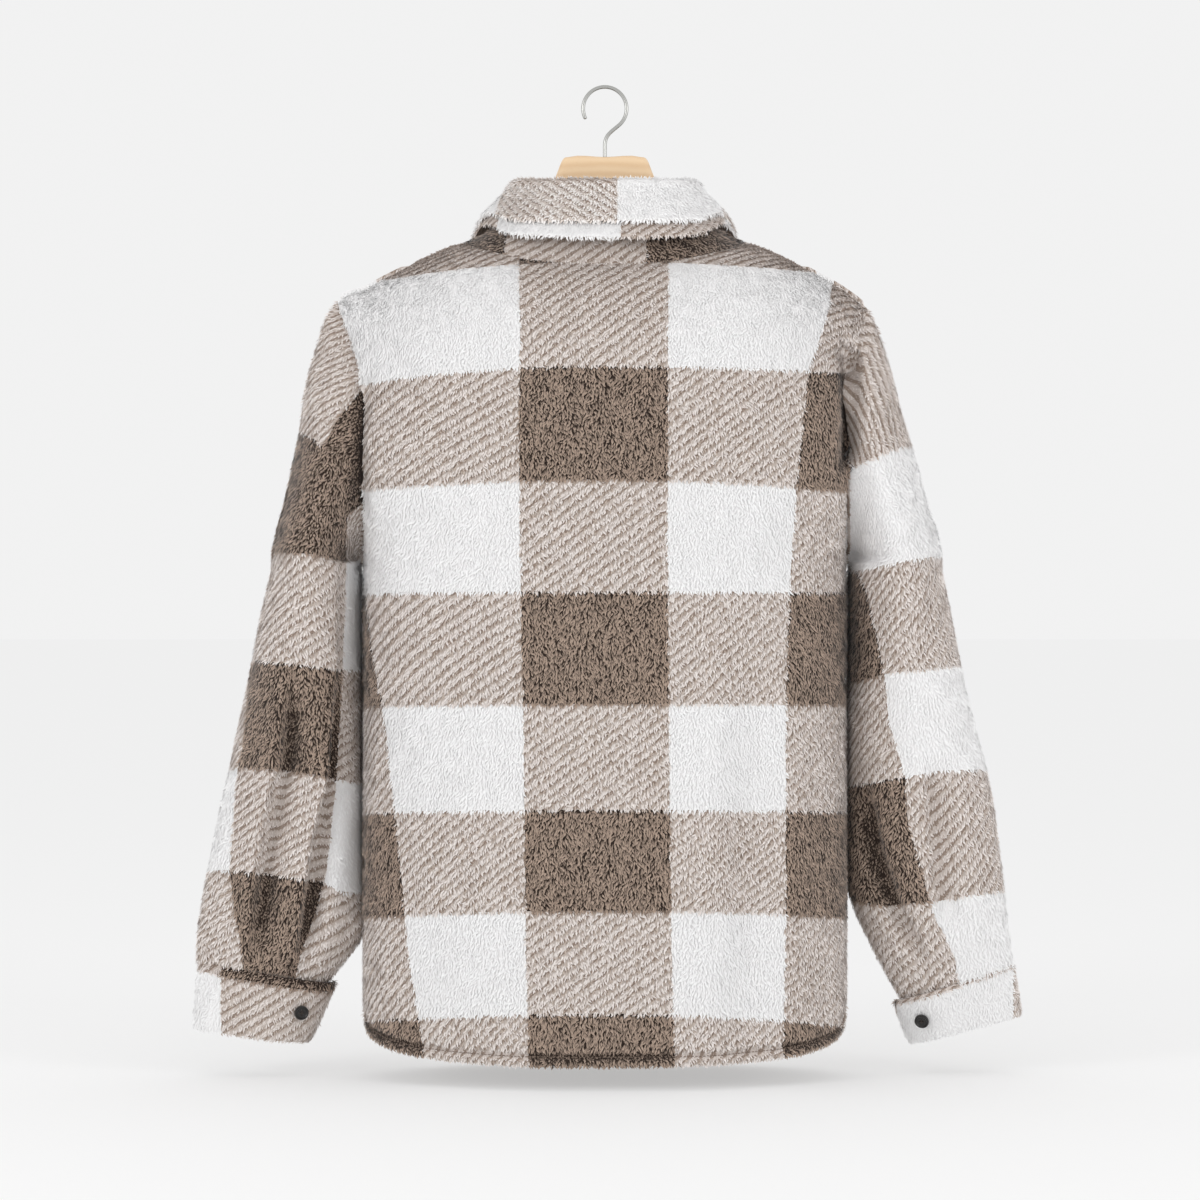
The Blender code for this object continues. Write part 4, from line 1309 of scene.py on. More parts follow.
    def row_numbers(self, tips: Array, gaps: Sequence[Array]) -> Array:
        """Numbers of the rows of checks, from each point's height over the level lines."""
        numbers = [line[0] for line in self.level_lines]
        return numbered(run_length(tips, 0).T, [gap.T for gap in gaps], numbers, 1000 / ROW_MM).T

    def hidden_numbers(self, tips: Array, side: Side) -> Array:
        """Check numbers of a front: rows as at its side seam, columns from the centre."""
        across = run_length(tips, 1)
        start = np.array([float(np.interp(0.0, tips[k, :, 0], across[k])) for k in range(len(tips))])
        columns = 0.5 + side.sign * (across - start[:, None]) / (self.front_column_mm * MM)
        gaps = [tips[..., 2] - (line[1] if side is Side.LEFT else line[3]) for line in self.level_lines]
        return twilled(np.stack([columns, self.row_numbers(tips, gaps)], axis=-1), -1)

    def hemmed(self, tips: Array, facing: Array) -> tuple[Array, Array]:
        """A panel with its hem sewn: a groove along the stitches, and a rounded edge.

        Args:
            tips: The panel's points.
            facing: Their outward normals.

        Returns:
            The points, and how tall the pile grows at each.
        """
        up = run_length(tips, 0)
        groove_depth, groove_half, groove_loss = self.groove
        edge_depth, edge_half, edge_loss = self.edge
        groove, edge = bell(up - self.stitch_up, groove_half), bell(up, edge_half)
        tips = tips - facing * (groove_depth * groove + edge_depth * edge)[..., None]
        return tips, 1 - groove_loss * groove - edge_loss * edge

    def stitches(self, skin: Skin) -> Array:
        """Points along the hem's row of stitches, sunk in the pile."""
        up = run_length(skin.tips, 0)
        sunk = skin.ground() + skin.facing * self.stitch_lift
        return np.array([[np.interp(self.stitch_up, up[:, k], sunk[:, k, i]) for i in range(3)]
                         for k in range(up.shape[1])])

    def keep_side(self, points: Array, face: Face, clear: float) -> Array:
        """Points held on their own side of the side and shoulder seams, this far off."""
        least = self.seam_gap / 2 + clear
        points[..., 1] = face.value * np.maximum(face.value * points[..., 1], least)
        return points

    def lapped(self, tips: Array, facing: Array) -> Array:
        """The front that laps over the other, raised along its edge."""
        near, far = self.lap_ramp
        return tips + facing * self.lap_rise * ease((far - tips[..., 0]) / (far - near))[..., None]

    def back(self) -> Skin:
        """The back, cut in one from side seam to side seam."""
        # columns from the centre to the side seam, closest at the seam
        half = np.concatenate([np.linspace(0, 0.9, 35), np.linspace(0.916, 1, 7)])
        tips = self.panel(np.concatenate([-half[:0:-1], half]), Face.BACK)
        facing = facings(tips)
        flat, tips = tips, creased(tips, facing, self.creases + self.seam_creases, -1)
        cloth, pressed_and_shaded = self.numbers(tips), laid(tips, flat, facing)
        tips, grow = self.hemmed(tips, facing)
        return self.panel_skin("back", Face.BACK, tips, facings(tips), cloth, grow * pressed_and_shaded, (0,))

    def panel_skin(self, name: str, face: Face, tips: Array, facing: Array, cloth: Array,
                   grow: Array, edges: tuple[int, ...]) -> Skin:
        """A panel's cloth, with all its layers on their own side of the seams."""
        root = self.keep_side(tips - self.pile * facing, face, self.clear_root)
        inner = self.keep_side(tips - self.wall * facing, face, 0.0)
        tips = self.keep_side(tips, face, self.clear_tips)
        return Skin(name, tips, facing, cloth, self.wall, self.pile, root=root, inner=inner,
                    grow=grow, edges=edges)

    def front(self, side: Side) -> Skin:
        """One front, from its lapped edge to its side seam."""
        edge = -2 / pi * asin(self.lap / self.tip_x)
        # columns from the lapped edge to the side seam, even past the lap
        columns = np.concatenate([np.linspace(edge, 0.16, 9), np.linspace(0.19, 1, 36)])
        tips = self.panel(columns, Face.FRONT)
        facing = -facings(tips)
        cloth = self.hidden_numbers(tips, side)
        if side is Side.LEFT:
            tips = self.lapped(tips, facing)
            facing = -facings(tips)
        tips, facing = tips * side.mirror, facing * side.mirror
        tips = creased(tips, facing, self.creases + self.seam_creases, 1)
        tips[..., 2] -= self.seam_roll * bell(below_top(tips), self.seam_roll_half)
        tips, grow = self.hemmed(tips, facing)
        facing = facings(tips) * side.sign * -1
        grow *= 1 - self.shear * bell(below_top(tips), self.shear_half)
        return self.panel_skin(f"front_{side.value}", Face.FRONT, tips, facing, cloth, grow, (0, 3))


@dataclass
class Sleeve:
    """A sleeve from its armhole to its cuff."""

    torso: Torso
    side: Side
    columns: int = 196
    turn_rows: int = 26
    down_rows: int = 46
    pivot_gap: float = 0.008
    tuck_in: float = 6.0 * MM          # the seam allowance, turned in under the body's edge
    tuck_under: float = 3.5 * MM
    tucked_pile: float = 0.2           # height of the pile there, against the usual
    back_above: float = -0.02          # on the back, the sine of a point's angle is over this
    turn: Table = field(default_factory=lambda: Table(
        "angle reach", (0, 0.2382), (10, 0.1950), (21, 0.1450), (34, 0.1150), (48, 0.0975),
        (66, 0.0880), (90, 0.0832)))

    def creases(self) -> tuple[Crease, ...]:
        """Pleats set in at the cuff, folds of the arm, and the hollows at the armhole."""
        if self.side is Side.LEFT:
            outer_pleat = ((-0.2763, -0.5212), (-0.2834, -0.6030), (-0.2966, -0.6638),
                           (-0.3036, -0.7069), (-0.3071, -0.7491), (-0.3091, -0.7900))
            inner_pleat = ((-0.2326, -0.5322), (-0.2396, -0.6171), (-0.2538, -0.6784),
                           (-0.2608, -0.7254), (-0.2715, -0.7980))
            return (
                Crease(tuple((x - 0.006, z) for x, z in outer_pleat), 6.0, 14, 4, fade_mm=80),
                Crease(tuple((x + 0.002, z) for x, z in outer_pleat), -13.0, 3, 12, fade_mm=80),
                Crease(tuple((x - 0.006, z) for x, z in inner_pleat), 6.5, 13, 4, fade_mm=80),
                Crease(tuple((x + 0.002, z) for x, z in inner_pleat), -15.0, 3, 14, fade_mm=80),
                Crease(((-0.2230, -0.2760), (-0.2290, -0.3140), (-0.2330, -0.3600)), -5.0, 9, 5, fade_mm=22),
                Crease(((-0.2500, -0.2500), (-0.2560, -0.3200), (-0.2600, -0.3900)), 2.2, 16, 14, fade_mm=50),
                Crease(((-0.2288, -0.4288), (-0.2280, -0.4816), (-0.2300, -0.5326)), -4.0, 4, 9, fade_mm=30),
                Crease(((-0.3000, -0.3600), (-0.3100, -0.4600), (-0.3220, -0.5600)), -1.6, 14, 20,
                       fade_mm=60),
                Crease(((-0.2750, -0.4700), (-0.3000, -0.5600), (-0.3200, -0.7000)), 2.0, 18, 18,
                       Face.FRONT),
                Crease(((-0.2500, -0.5200), (-0.2700, -0.6400), (-0.2950, -0.7700)), -2.6, 14, 20,
                       Face.FRONT))
        return (
            Crease(((0.2240, -0.6200), (0.2350, -0.6840), (0.2534, -0.7324), (0.2816, -0.7900)),
                   -13.0, 10, 6, fade_mm=60),
            Crease(((0.2480, -0.6000), (0.2630, -0.6900), (0.2840, -0.7700)), 4.4, 13, 10, fade_mm=70),
            Crease(((0.2860, -0.5900), (0.2930, -0.6840), (0.3012, -0.7712)), -10.0, 5, 14, fade_mm=60),
            Crease(((0.3180, -0.6100), (0.3250, -0.7000), (0.3330, -0.7700)), 1.8, 15, 17, fade_mm=60),
            Crease(((0.2300, -0.2500), (0.2330, -0.3200), (0.2400, -0.4300)), 2.4, 12, 20, fade_mm=60),
            Crease(((0.2750, -0.3300), (0.2850, -0.4300), (0.2950, -0.5300)), -1.8, 20, 14, fade_mm=60),
            Crease(((0.2700, -0.4800), (0.2950, -0.5800), (0.3200, -0.7200)), 2.2, 18, 18, Face.FRONT),
            Crease(((0.2450, -0.5400), (0.2700, -0.6600), (0.3050, -0.7800)), -2.8, 20, 14, Face.FRONT))

    def fullness(self) -> tuple[Table, Table]:
        """How far the cloth hangs out past its solid, in mm by height: inner and outer edge."""
        # It ends in small steps at the underarm, so that the curve through them can't swing.
        upper = ((-0.648, 6.5), (-0.556, 7.0), (-0.470, 8.5), (-0.4357, 9.0), (-0.4325, 8.5),
                 (-0.4290, 6.5), (-0.4277, 4.8), (-0.4255, 1.2), (-0.4240, 0.0), (-0.4230, 0.0),
                 (-0.400, 0.0))
        if self.side is Side.LEFT:
            return (
                Table("z inner", (-0.812, 0.0), (-0.795, 5.0), (-0.768, 12.0), (-0.714, 7.0), *upper),
                Table("z outer", (-0.790, 2.5), (-0.702, 3.5), (-0.662, 8.0), (-0.600, 7.0),
                      (-0.552, 5.0), (-0.490, 5.0), (-0.446, 3.0), (-0.398, 0.0), (-0.300, -2.5),
                      (-0.245, 0.0), (-0.190, 0.0)))
        return (
            Table("z inner", (-0.829, 0.0), (-0.778, 3.5), (-0.725, 7.5), *upper),
            Table("z outer", (-0.785, 1.0), (-0.746, 4.0), (-0.710, 4.0), (-0.614, 7.0),
                  (-0.552, 5.0), (-0.420, 4.5), (-0.354, 0.0), (-0.314, -4.0), (-0.288, -8.0),
                  (-0.244, -8.0), (-0.215, -3.0), (-0.195, 0.0)))

    def twill_slope(self, z: Any) -> Array:
        """Rise of the twill over its run at a height, steeper towards the armhole."""
        if self.side is Side.LEFT:
            return np.interp(z, (-0.80, -0.60, -0.45, -0.33, -0.20), (0.60, 0.66, 0.70, 1.05, 1.35))
        return np.interp(z, (-0.80, -0.50, -0.33, -0.20), (0.70, 0.82, 0.98, 1.25))

    def down(self) -> Table:
        """The sleeve below its turn: outer and inner line, centre and half depth."""
        names = "step outer_x outer_z inner_x inner_z mid_y half_depth"
        if self.side is Side.LEFT:
            return Table(
                names,
                (0, 0.3038, -0.4357, 0.2286, -0.4357, 0.012, 0.0800),
                (1, 0.3256, -0.5548, 0.2246, -0.5560, 0.014, 0.0660),
                (2, 0.3421, -0.6455, 0.2242, -0.6480, 0.014, 0.0550),
                (3, 0.3602, -0.7073, 0.2242, -0.7140, 0.012, 0.0465),
                (4, 0.3690, -0.7530, 0.2290, -0.7680, 0.010, 0.0380),
                (5, 0.3718, -0.7905, 0.2480, -0.8113, 0.010, 0.0270))
        return Table(
            names,
            (0, 0.3038, -0.4357, 0.2286, -0.4357, 0.012, 0.0800),
            (1, 0.3278, -0.5548, 0.2246, -0.5560, 0.014, 0.0660),
            (2, 0.3487, -0.6455, 0.2242, -0.6480, 0.014, 0.0550),
            (3, 0.3596, -0.7100, 0.2260, -0.7250, 0.013, 0.0465),
            (4, 0.3650, -0.7540, 0.2430, -0.7780, 0.014, 0.0380),
            (5, 0.3749, -0.7953, 0.2671, -0.8290, 0.020, 0.0270))

    def upright_lines(self) -> list[tuple[float, list[tuple[float, float]]]]:
        if self.side is Side.LEFT:
            return [
                (0, [(-0.205, -0.300), (-0.420, -0.300), (-0.517, -0.3120), (-0.523, -0.3142),
                     (-0.593, -0.3212), (-0.614, -0.3256), (-0.699, -0.3320), (-0.735, -0.3282),
                     (-0.780, -0.3186)]),
                (1, [(-0.205, -0.150), (-0.370, -0.200), (-0.390, -0.2250), (-0.429, -0.2253),
                     (-0.523, -0.2290), (-0.621, -0.2361), (-0.707, -0.2467), (-0.737, -0.2561),
                     (-0.790, -0.2702)])]
        return [
            (1, [(-0.205, 0.360), (-0.560, 0.370), (-0.780, 0.400)]),
            (2, [(-0.205, 0.200), (-0.236, 0.204), (-0.250, 0.2165), (-0.335, 0.2180),
                 (-0.347, 0.2100), (-0.430, 0.208), (-0.441, 0.2232), (-0.473, 0.2323),
                 (-0.514, 0.2411), (-0.534, 0.2459), (-0.570, 0.2482), (-0.598, 0.2578),
                 (-0.618, 0.2640), (-0.664, 0.2672), (-0.699, 0.2790), (-0.730, 0.2860),
                 (-0.766, 0.3026), (-0.791, 0.3106)])]

    def level_lines(self) -> list[tuple[float, list[tuple[float, float]]]]:
        """Lines of the check round the sleeve: number, then x and z as seen."""
        if self.side is Side.LEFT:
            return [
                (0, [(-0.300, -0.170), (-0.200, -0.170)]),
                (1, [(-0.2720, -0.3148), (-0.2450, -0.3317), (-0.2330, -0.3150), (-0.2170, -0.2836),
                     (-0.2060, -0.2730)]),
                (2, [(-0.2922, -0.4215), (-0.2572, -0.4235), (-0.2281, -0.4280)]),
                (3, [(-0.3080, -0.5168), (-0.2728, -0.5212), (-0.2305, -0.5252)]),
                (4, [(-0.3247, -0.6110), (-0.2869, -0.6136), (-0.2464, -0.6194), (-0.2174, -0.6250)]),
                (5, [(-0.3318, -0.7016), (-0.3056, -0.7038), (-0.2798, -0.7078), (-0.2514, -0.7113),
                     (-0.2288, -0.7210)]),
                (6, [(-0.3318, -0.8050), (-0.2288, -0.8250)])]
        return [
            (1, [(0.2000, -0.1500), (0.3000, -0.1800)]),
            (2, [(0.2129, -0.3485), (0.2323, -0.3426), (0.2506, -0.3346), (0.2666, -0.3289)]),
            (3, [(0.2138, -0.4394), (0.2345, -0.4348), (0.2575, -0.4302), (0.2943, -0.4253)]),
            (4, [(0.2173, -0.5370), (0.2464, -0.5292), (0.2846, -0.5250), (0.3167, -0.5208)]),
            (5, [(0.2156, -0.6265), (0.2649, -0.6195), (0.2954, -0.6145), (0.3309, -0.6124)]),
            (6, [(0.2174, -0.7300), (0.2438, -0.7337), (0.2860, -0.7306), (0.3494, -0.7197)]),
            (7, [(0.2174, -0.8300), (0.3494, -0.8200)])]

    def turn_ring(self, angle: float) -> Array:
        """A ring where the sleeve turns from the armhole to hang down."""
        theta = turns(self.columns)
        body = self.torso
        rise = (1 - np.cos(theta)) / 2
        height = body.underarm_z + (body.tip_z - body.underarm_z) * rise
        behind = -np.sign(np.sin(theta) + 1e-12)
        blend = sin(radians(angle))
        reach = self.pivot_gap + (float(self.turn.read("reach", angle)) - self.pivot_gap) * rise
        start = self.down().row(0)
        round_y = start["mid_y"] - start["half_depth"] * np.sin(theta)
        y = (1 - blend) * behind * body.armhole(height) + blend * round_y
        breadth = float(body.form.read("breadth", body.underarm_z))
        aside = (body.form.read("breadth", height) - breadth) * (1 - blend) ** 2
        out, up = sin(radians(angle)), cos(radians(angle))
        x = breadth + reach * out + aside * up
        z = body.underarm_z - self.pivot_gap + reach * up - aside * out
        return np.stack([x, y, z], axis=-1)

    def down_ring(self, step: float) -> Array:
        """A ring of the hanging sleeve."""
        row = self.down().row(step)
        theta = turns(self.columns)
        return oval((row["outer_x"], row["outer_z"]), (row["inner_x"], row["inner_z"]),
                    row["mid_y"], row["half_depth"], theta)

    def skin(self) -> Skin:
        """The sleeve's cloth, from the armhole down to the cuff seam."""
        turning = [self.turn_ring(angle) for angle in np.linspace(0, 90, self.turn_rows)]
        steps = np.linspace(0, 5, self.down_rows + 1)[1:]
        tips = np.array(turning + [self.down_ring(step) for step in steps])
        theta = turns(self.columns)
        inner, outer = self.fullness()
        tips[..., 0] += MM * (outer.read("outer", tips[..., 2]) * ((1 - np.cos(theta)) / 2) ** 2
                              - inner.read("inner", tips[..., 2]) * ((1 + np.cos(theta)) / 2) ** 2)
        tips = tips * self.side.mirror
        facing = self.outward(tips)
        face = np.where(np.sin(theta) > self.back_above, -1, 1)[None, :]
        flat, tips = tips, creased(tips, facing, self.creases() + self.torso.seam_creases, face)
        pressed_and_shaded = laid(tips, flat, facing)
        facing = self.outward(tips)
        tucked = tips[:1] - facing[:1] * self.tuck_under - [self.side.sign * self.tuck_in, 0, 0]
        tips, facing = np.concatenate([tucked, tips]), np.concatenate([facing[:1], facing])
        pressed_and_shaded = np.concatenate([0 * pressed_and_shaded[:1] + self.tucked_pile, pressed_and_shaded])
        return Skin(f"sleeve_{self.side.value}", tips, facing, self.numbers(tips),
                    self.torso.wall, self.torso.pile, closed=True, grow=pressed_and_shaded, down=1)

    def outward(self, tips: Array) -> Array:
        """Outward normals of the sleeve."""
        return facings(tips, closed=True) * -self.side.sign

    def numbers(self, tips: Array) -> Array:
        """Check numbers of the sleeve, with the seam along its inner edge."""
        seen, half = as_seen(tips), self.columns // 2
        cloth = np.zeros((*tips.shape[:2], 2))
        rate = 1000 / COLUMN_MM
        visible = np.arange(half, -1, -1)
        hidden = np.r_[np.arange(half, self.columns), 0]
        gaps = []
        for _, path in self.upright_lines():
            path = np.array(sorted(path))
            line = np.interp(seen[:, visible, 1], path[:, 0], path[:, 1])
            gaps.append(-self.side.sign * (seen[:, visible, 0] - line))
        numbers = [line[0] for line in self.upright_lines()]
        cloth[:, visible, 0] = numbered(run_length(tips[:, visible], 1), gaps, numbers, rate)
        beyond = run_length(tips[:, hidden], 1)
        cloth[:, hidden[:-1], 0] = cloth[:, half, 0][:, None] - beyond[:, :-1] * rate
        gaps = []
        for _, path in self.level_lines():
            path = np.array(sorted(path))
            gaps.append((np.interp(seen[..., 0], path[:, 0], path[:, 1]) - seen[..., 1]).T)
        numbers = [line[0] for line in self.level_lines()]
        cloth[..., 1] = numbered(run_length(tips, 0).T, gaps, numbers, 1000 / ROW_MM).T
        across = run_length(tips, 1)
        middle = across[:, half // 2]
        slope = self.twill_slope(seen[:, half // 2, 1])[:, None]
        rise = self.side.sign * (across - middle[:, None]) / MM * slope
        shift = rise - cloth[..., 0] * COLUMN_MM * Weave.slope
        return np.concatenate([cloth, shift[..., None]], axis=-1)


def oval(outer: Any, inner: Any, mid_y: float, half_depth: float, theta: Array,
         swell: Any = 0.0) -> Array:
    """Points of an oval whose long axis runs from its inner to its outer corner.

    Args:
        outer: x and z of the outer corner.
        inner: x and z of the inner corner.
        mid_y: Its middle.
        half_depth: Half its depth.
        theta: Angles from the inner corner over the back.
        swell: How far each point is moved out.

    Returns:
        x, y and z along the last axis.
    """
    outer, inner = np.array(outer), np.array(inner)
    middle = (outer + inner) / 2
    half = np.linalg.norm(outer - inner) / 2
    along = (outer - inner) / (2 * half)
    across, back = -np.cos(theta), np.sin(theta)
    normal_a, normal_b = across / half, back / half_depth
    size = np.hypot(normal_a, normal_b)
    a = half * across + swell * normal_a / size
    b = half_depth * back + swell * normal_b / size
    return np.stack([middle[0] + along[0] * a, mid_y - b, middle[1] + along[1] * a], axis=-1)


@dataclass
class Cuff:
    """A cuff wound once round the wrist, with its end lapped and buttoned."""

    sleeve: Sleeve
    wall: float = 4.5 * MM
    pile: float = 2.4 * MM
    lap_rise: float = 0.0066
    flap_end: float = -10.0
    flap_ramp: tuple[float, float] = (62.0, 100.0)
    under_end: float = 390.2
    corner: float = 12.0 * MM          # radius of the flap's lower corner
    edge: tuple[float, float] = (1.2 * MM, 3.0 * MM)    # depth and half width of the rounding
    depth: float = 54.0 * MM
    columns: int = 64
    rows: int = 14
    button_angle: float = 46.0
    button_drop: float = 0.5
    button_proud: float = 0.0005

    def hem(self) -> dict[str, Any]:
        """Lower edge: its outer and inner corner, centre and half depth."""
        if self.sleeve.side is Side.LEFT:
            return {"outer": (0.3775, -0.8525), "inner": (0.2722, -0.8665), "mid_y": 0.010,
                    "half_depth": 0.026}
        return {"outer": (0.3850, -0.8440), "inner": (0.2830, -0.8700), "mid_y": 0.036,
                "half_depth": 0.026}

    def ring(self, share: float, theta: Any, swell: Any) -> Array:
        """Points round the cuff at a share of its depth, moved out by `swell`."""
        seam, hem = self.sleeve.down().row(5), self.hem()
        corners = [(1 - share) * np.array([seam[f"{end}_x"], seam[f"{end}_z"]])
                   + share * np.array(hem[end]) for end in ("outer", "inner")]
        mid_y = (1 - share) * seam["mid_y"] + share * hem["mid_y"]
        half_depth = (1 - share) * seam["half_depth"] + share * hem["half_depth"]
        return oval(*corners, mid_y, half_depth, theta, swell)

    def skin(self) -> Skin:
        """The cuff's cloth, from its seam down to its hem."""
        theta = np.radians(np.linspace(self.flap_end, self.under_end, self.columns))
        low, high = np.radians(self.flap_ramp)
        raised = self.lap_rise * (1 - ease((theta - low) / (high - low)))
        side = self.sleeve.side
        run = run_length(self.ring(0.5, theta, raised)[None], 1)[0]
        cut = np.clip(1 - run / self.corner, 0, 1)
        reach = 1 - (1 - np.sqrt(1 - cut**2)) * self.corner / self.depth
        tips = np.array([[self.ring(s * r, t, out) for r, t, out in zip(reach, theta, raised)]
                         for s in np.linspace(0, 1, self.rows)]) * side.mirror
        facing = facings(tips) * -side.sign
        depth, half = self.edge
        edge = bell(np.minimum(run_length(tips, 0), below_top(tips)), half)
        tips = tips - facing * (depth * edge)[..., None]
        facing = facings(tips) * -side.sign
        return Skin(f"cuff_{side.value}", tips, facing, self.numbers(tips, theta),
                    self.wall, self.pile, down=1, edges=(0, 1, 2, 3))

    def numbers(self, tips: Array, theta: Array) -> Array:
        """Check numbers of the cuff, from an upright line 2 as seen and a level line 2 near its seam."""
        cloth = np.zeros((*tips.shape[:2], 2))
        across, down = run_length(tips, 1), run_length(tips, 0)
        seen = as_seen(tips)
        back = (theta > 0) & (theta < pi)
        if self.sleeve.side is Side.LEFT:
            line, strip = -0.3388, 9.5 * MM
        else:
            line, strip = 0.3608, 3.4 * MM
        for k in range(len(tips)):
            places, x = across[k][back], seen[k, back, 0]
            order = np.argsort(x)
            start = float(np.interp(line, x[order], places[order]))
            cloth[k, :, 0] = 2 + self.sleeve.side.sign * (across[k] - start) / (COLUMN_MM * MM)
        cloth[..., 1] = 2 + (down - strip) / (ROW_MM * MM)
        return twilled(cloth)

    def button_seat(self) -> tuple[Array, Array]:
        """Where the cuff's button sits, and the way it faces."""
        theta, step = radians(self.button_angle), 0.1
        on, lower, near, far = (
            self.ring(share, angle, self.lap_rise)
            for share, angle in ((self.button_drop, theta), (self.button_drop + step, theta),
                                 (self.button_drop, theta - step), (self.button_drop, theta + step)))
        out = unit(np.cross(lower - on, far - near))
        mirror = self.sleeve.side.mirror
        return (on + out * self.button_proud) * mirror, out * mirror


@dataclass
class Collar:
    """The stand on the neckline, and the leaf that turns down over it."""

    torso: Torso
    wall: float = 4.5 * MM
    pile: float = 2.4 * MM
    step_deg: float = 5.0
    leaf_rows: int = 10
    stand_rows: int = 9
    lap_from: float = 150.0            # angles where the stand's ends begin to lap
    lap_over: float = 15.0
    lap_out: float = 1.2               # the left end is raised by this share of the fronts' lap
    look: float = 8.0                  # degrees to each side that tell the roll line's way
    under_from: float = 0.25           # the under collar begins at this share of the leaf
    middle_columns: int = 12
    sink: float = 1.5 * MM             # the stand's seam lies in the back's pile
    stand_top_out: float = -0.0024
    stand_top_down: float = -0.0088
    stand_lap_down: float = 0.0060
    form: Table = field(default_factory=lambda: Table(
        "angle roll_x roll_y roll_z edge_x edge_y edge_z drop sag",
        (0, 0.000, -0.050, -0.085, 0.000, -0.081, -0.125, 0.0150, 0.000),
        (45, 0.056, -0.034, -0.084, 0.078, -0.059, -0.122, 0.0130, 0.003),
        (90, 0.083, 0.004, -0.084, 0.114, 0.006, -0.1135, 0.0070, 0.008),
        (120, 0.075, 0.037, -0.103, 0.123, 0.058, -0.143, 0.0060, 0.006),
        (150, 0.044, 0.066, -0.138, 0.105, 0.105, -0.194, 0.0050, 0.003),
        (180, 0.006, 0.084, -0.170, 0.068, 0.126, -0.240, 0.0040, 0.000)))
    roll: tuple[tuple[float, float], ...] = (
        # from the inside of the stand over the roll line: outward and upward
        (-0.0070, -0.0072), (-0.0066, -0.0034), (-0.0034, -0.0005), (0.0014, -0.0001),
        (0.0062, -0.0028), (0.0094, -0.0085))

    def even(self, name: str, at: float, parity: int) -> float:
        """A column of the form, carried past the centre back."""
        return float(self.form.read(name, abs(at))) * (parity if at < 0 else 1)

    def frame(self, angle: float) -> tuple[Array, Array, Array, dict[str, float]]:
        """Roll line, leaf edge, outward direction and sizes at an angle."""
        side, at = (-1 if angle < 0 else 1), min(abs(angle), 180)
        row = self.form.row(at)
        roll = np.array([side * row["roll_x"], row["roll_y"], row["roll_z"]])
        edge = np.array([side * row["edge_x"], row["edge_y"], row["edge_z"]])
        near, far = max(at - self.look, -self.look), min(at + self.look, 180)
        run_x = self.even("roll_x", far, -1) - self.even("roll_x", near, -1)
        run_y = self.even("roll_y", far, 1) - self.even("roll_y", near, 1)
        outward = np.array([side * run_y, -run_x, 0.0])
        return roll, edge, outward / np.linalg.norm(outward), row

    def leaf(self) -> tuple[Skin, Skin]:
        """The top collar, and the under collar inside it."""
        top, under = [], []
        for angle in np.arange(-180, 180.1, self.step_deg):
            roll, edge, outward, row = self.frame(float(angle))
            bend = self.rounded(np.array(self.roll))
            path = [roll + outward * out + np.array([0.0, 0.0, up]) for out, up in bend]
            fall = edge - path[-1]
            rows = [path[-1] + fall * s for s in np.linspace(0, 1, self.leaf_rows + 1)[1:]]
            top.append(path + rows)
            way = fall / np.linalg.norm(fall)
            start = path[-1] + fall * self.under_from
            end = edge + way * row["drop"]
            under.append([start + (end - start) * s for s in np.linspace(0, 1, self.leaf_rows + 1)])
        top, under = (np.array(grid).transpose(1, 0, 2) for grid in (top, under))
        facing = -facings(under)
        under = under - (self.wall + self.torso.seam_gap) * facing
        top_cloth = self.numbers(top, line=0.0112, number=1, low=0.05, way=-1)
        under_cloth = self.numbers(under, line=0.0145, number=2, low=0.30)
        return (
            Skin("collar_fall", top, -facings(top), top_cloth, self.wall, self.pile, down=1,
                 edges=(1, 2, 3)),
            Skin("collar_under", under, facing, under_cloth, self.wall, self.pile, down=1,
                 edges=(1, 2, 3)))

    def rounded(self, path: Array) -> Array:
        """The roll's path with twice the points, on a smooth curve."""
        at = np.arange(len(path), dtype=float)
        table = Table("at out up", *[(k, *point) for k, point in zip(at, path)])
        fine = np.linspace(0, len(path) - 1, 2 * len(path) - 1)
        return np.stack([table.read("out", fine), table.read("up", fine)], axis=-1)

    def numbers(self, grid: Array, line: float, number: float, low: float, way: int = 1,
                rate: int = 1) -> Array:
        """Check numbers of a collar piece, from one upright line seen on its back.

        Args:
            grid: The piece's points.
            line: x of the line, as seen.
            number: The line's number.
            low: The number along the first row.
            way: 1 where the twill rises with the column numbers, -1 where it falls.
            rate: 1 where numbers rise with the rows, -1 where they fall.

        Returns:
            The numbers, with the twill's shift.
        """
        cloth = np.zeros((*grid.shape[:2], 2))
        across, seen = run_length(grid, 1), as_seen(grid)
        middle = grid.shape[1] // 2
        near = slice(middle - self.middle_columns, middle + self.middle_columns + 1)
        for k in range(len(grid)):
            start = float(np.interp(line, seen[k, near, 0], across[k, near]))
            cloth[k, :, 0] = number + (across[k] - start) / (COLUMN_MM * MM)
        cloth[..., 1] = low + rate * run_length(grid, 0) / (ROW_MM * MM)
        return twilled(cloth, way)

    def ring(self) -> list[tuple[float, Array]]:
        """Points of the neckline by their angle, from the left front round to the right."""
        body = self.torso

        def columns(angles: Array) -> Array:
            """A panel's columns at angles round the neck."""
            return 2 / pi * np.arcsin(body.neck_half_width / body.tip_x * np.sin(np.radians(angles)))

        angles = np.arange(0, 90.1, self.step_deg)
        back = body.panel(columns(angles), Face.BACK)[-1]
        lap = 180 + np.degrees(asin(body.lap / body.neck_half_width))
        turned = np.concatenate([[lap], np.arange(180, 89.9, -self.step_deg)])
        front = body.panel(columns(turned), Face.FRONT)
        raised = body.lapped(front, -facings(front))
        flip = np.array([-1, 1, 1])
        ring = [(-angle, point * flip) for angle, point in zip(turned, raised[-1])]
        ring += [(-angle, point * flip) for angle, point in zip(angles, back)][-2:0:-1]
        ring += [(angle, point) for angle, point in zip(angles, back)][:-1]
        return ring + [(angle, point) for angle, point in zip(turned, front[-1])][::-1]

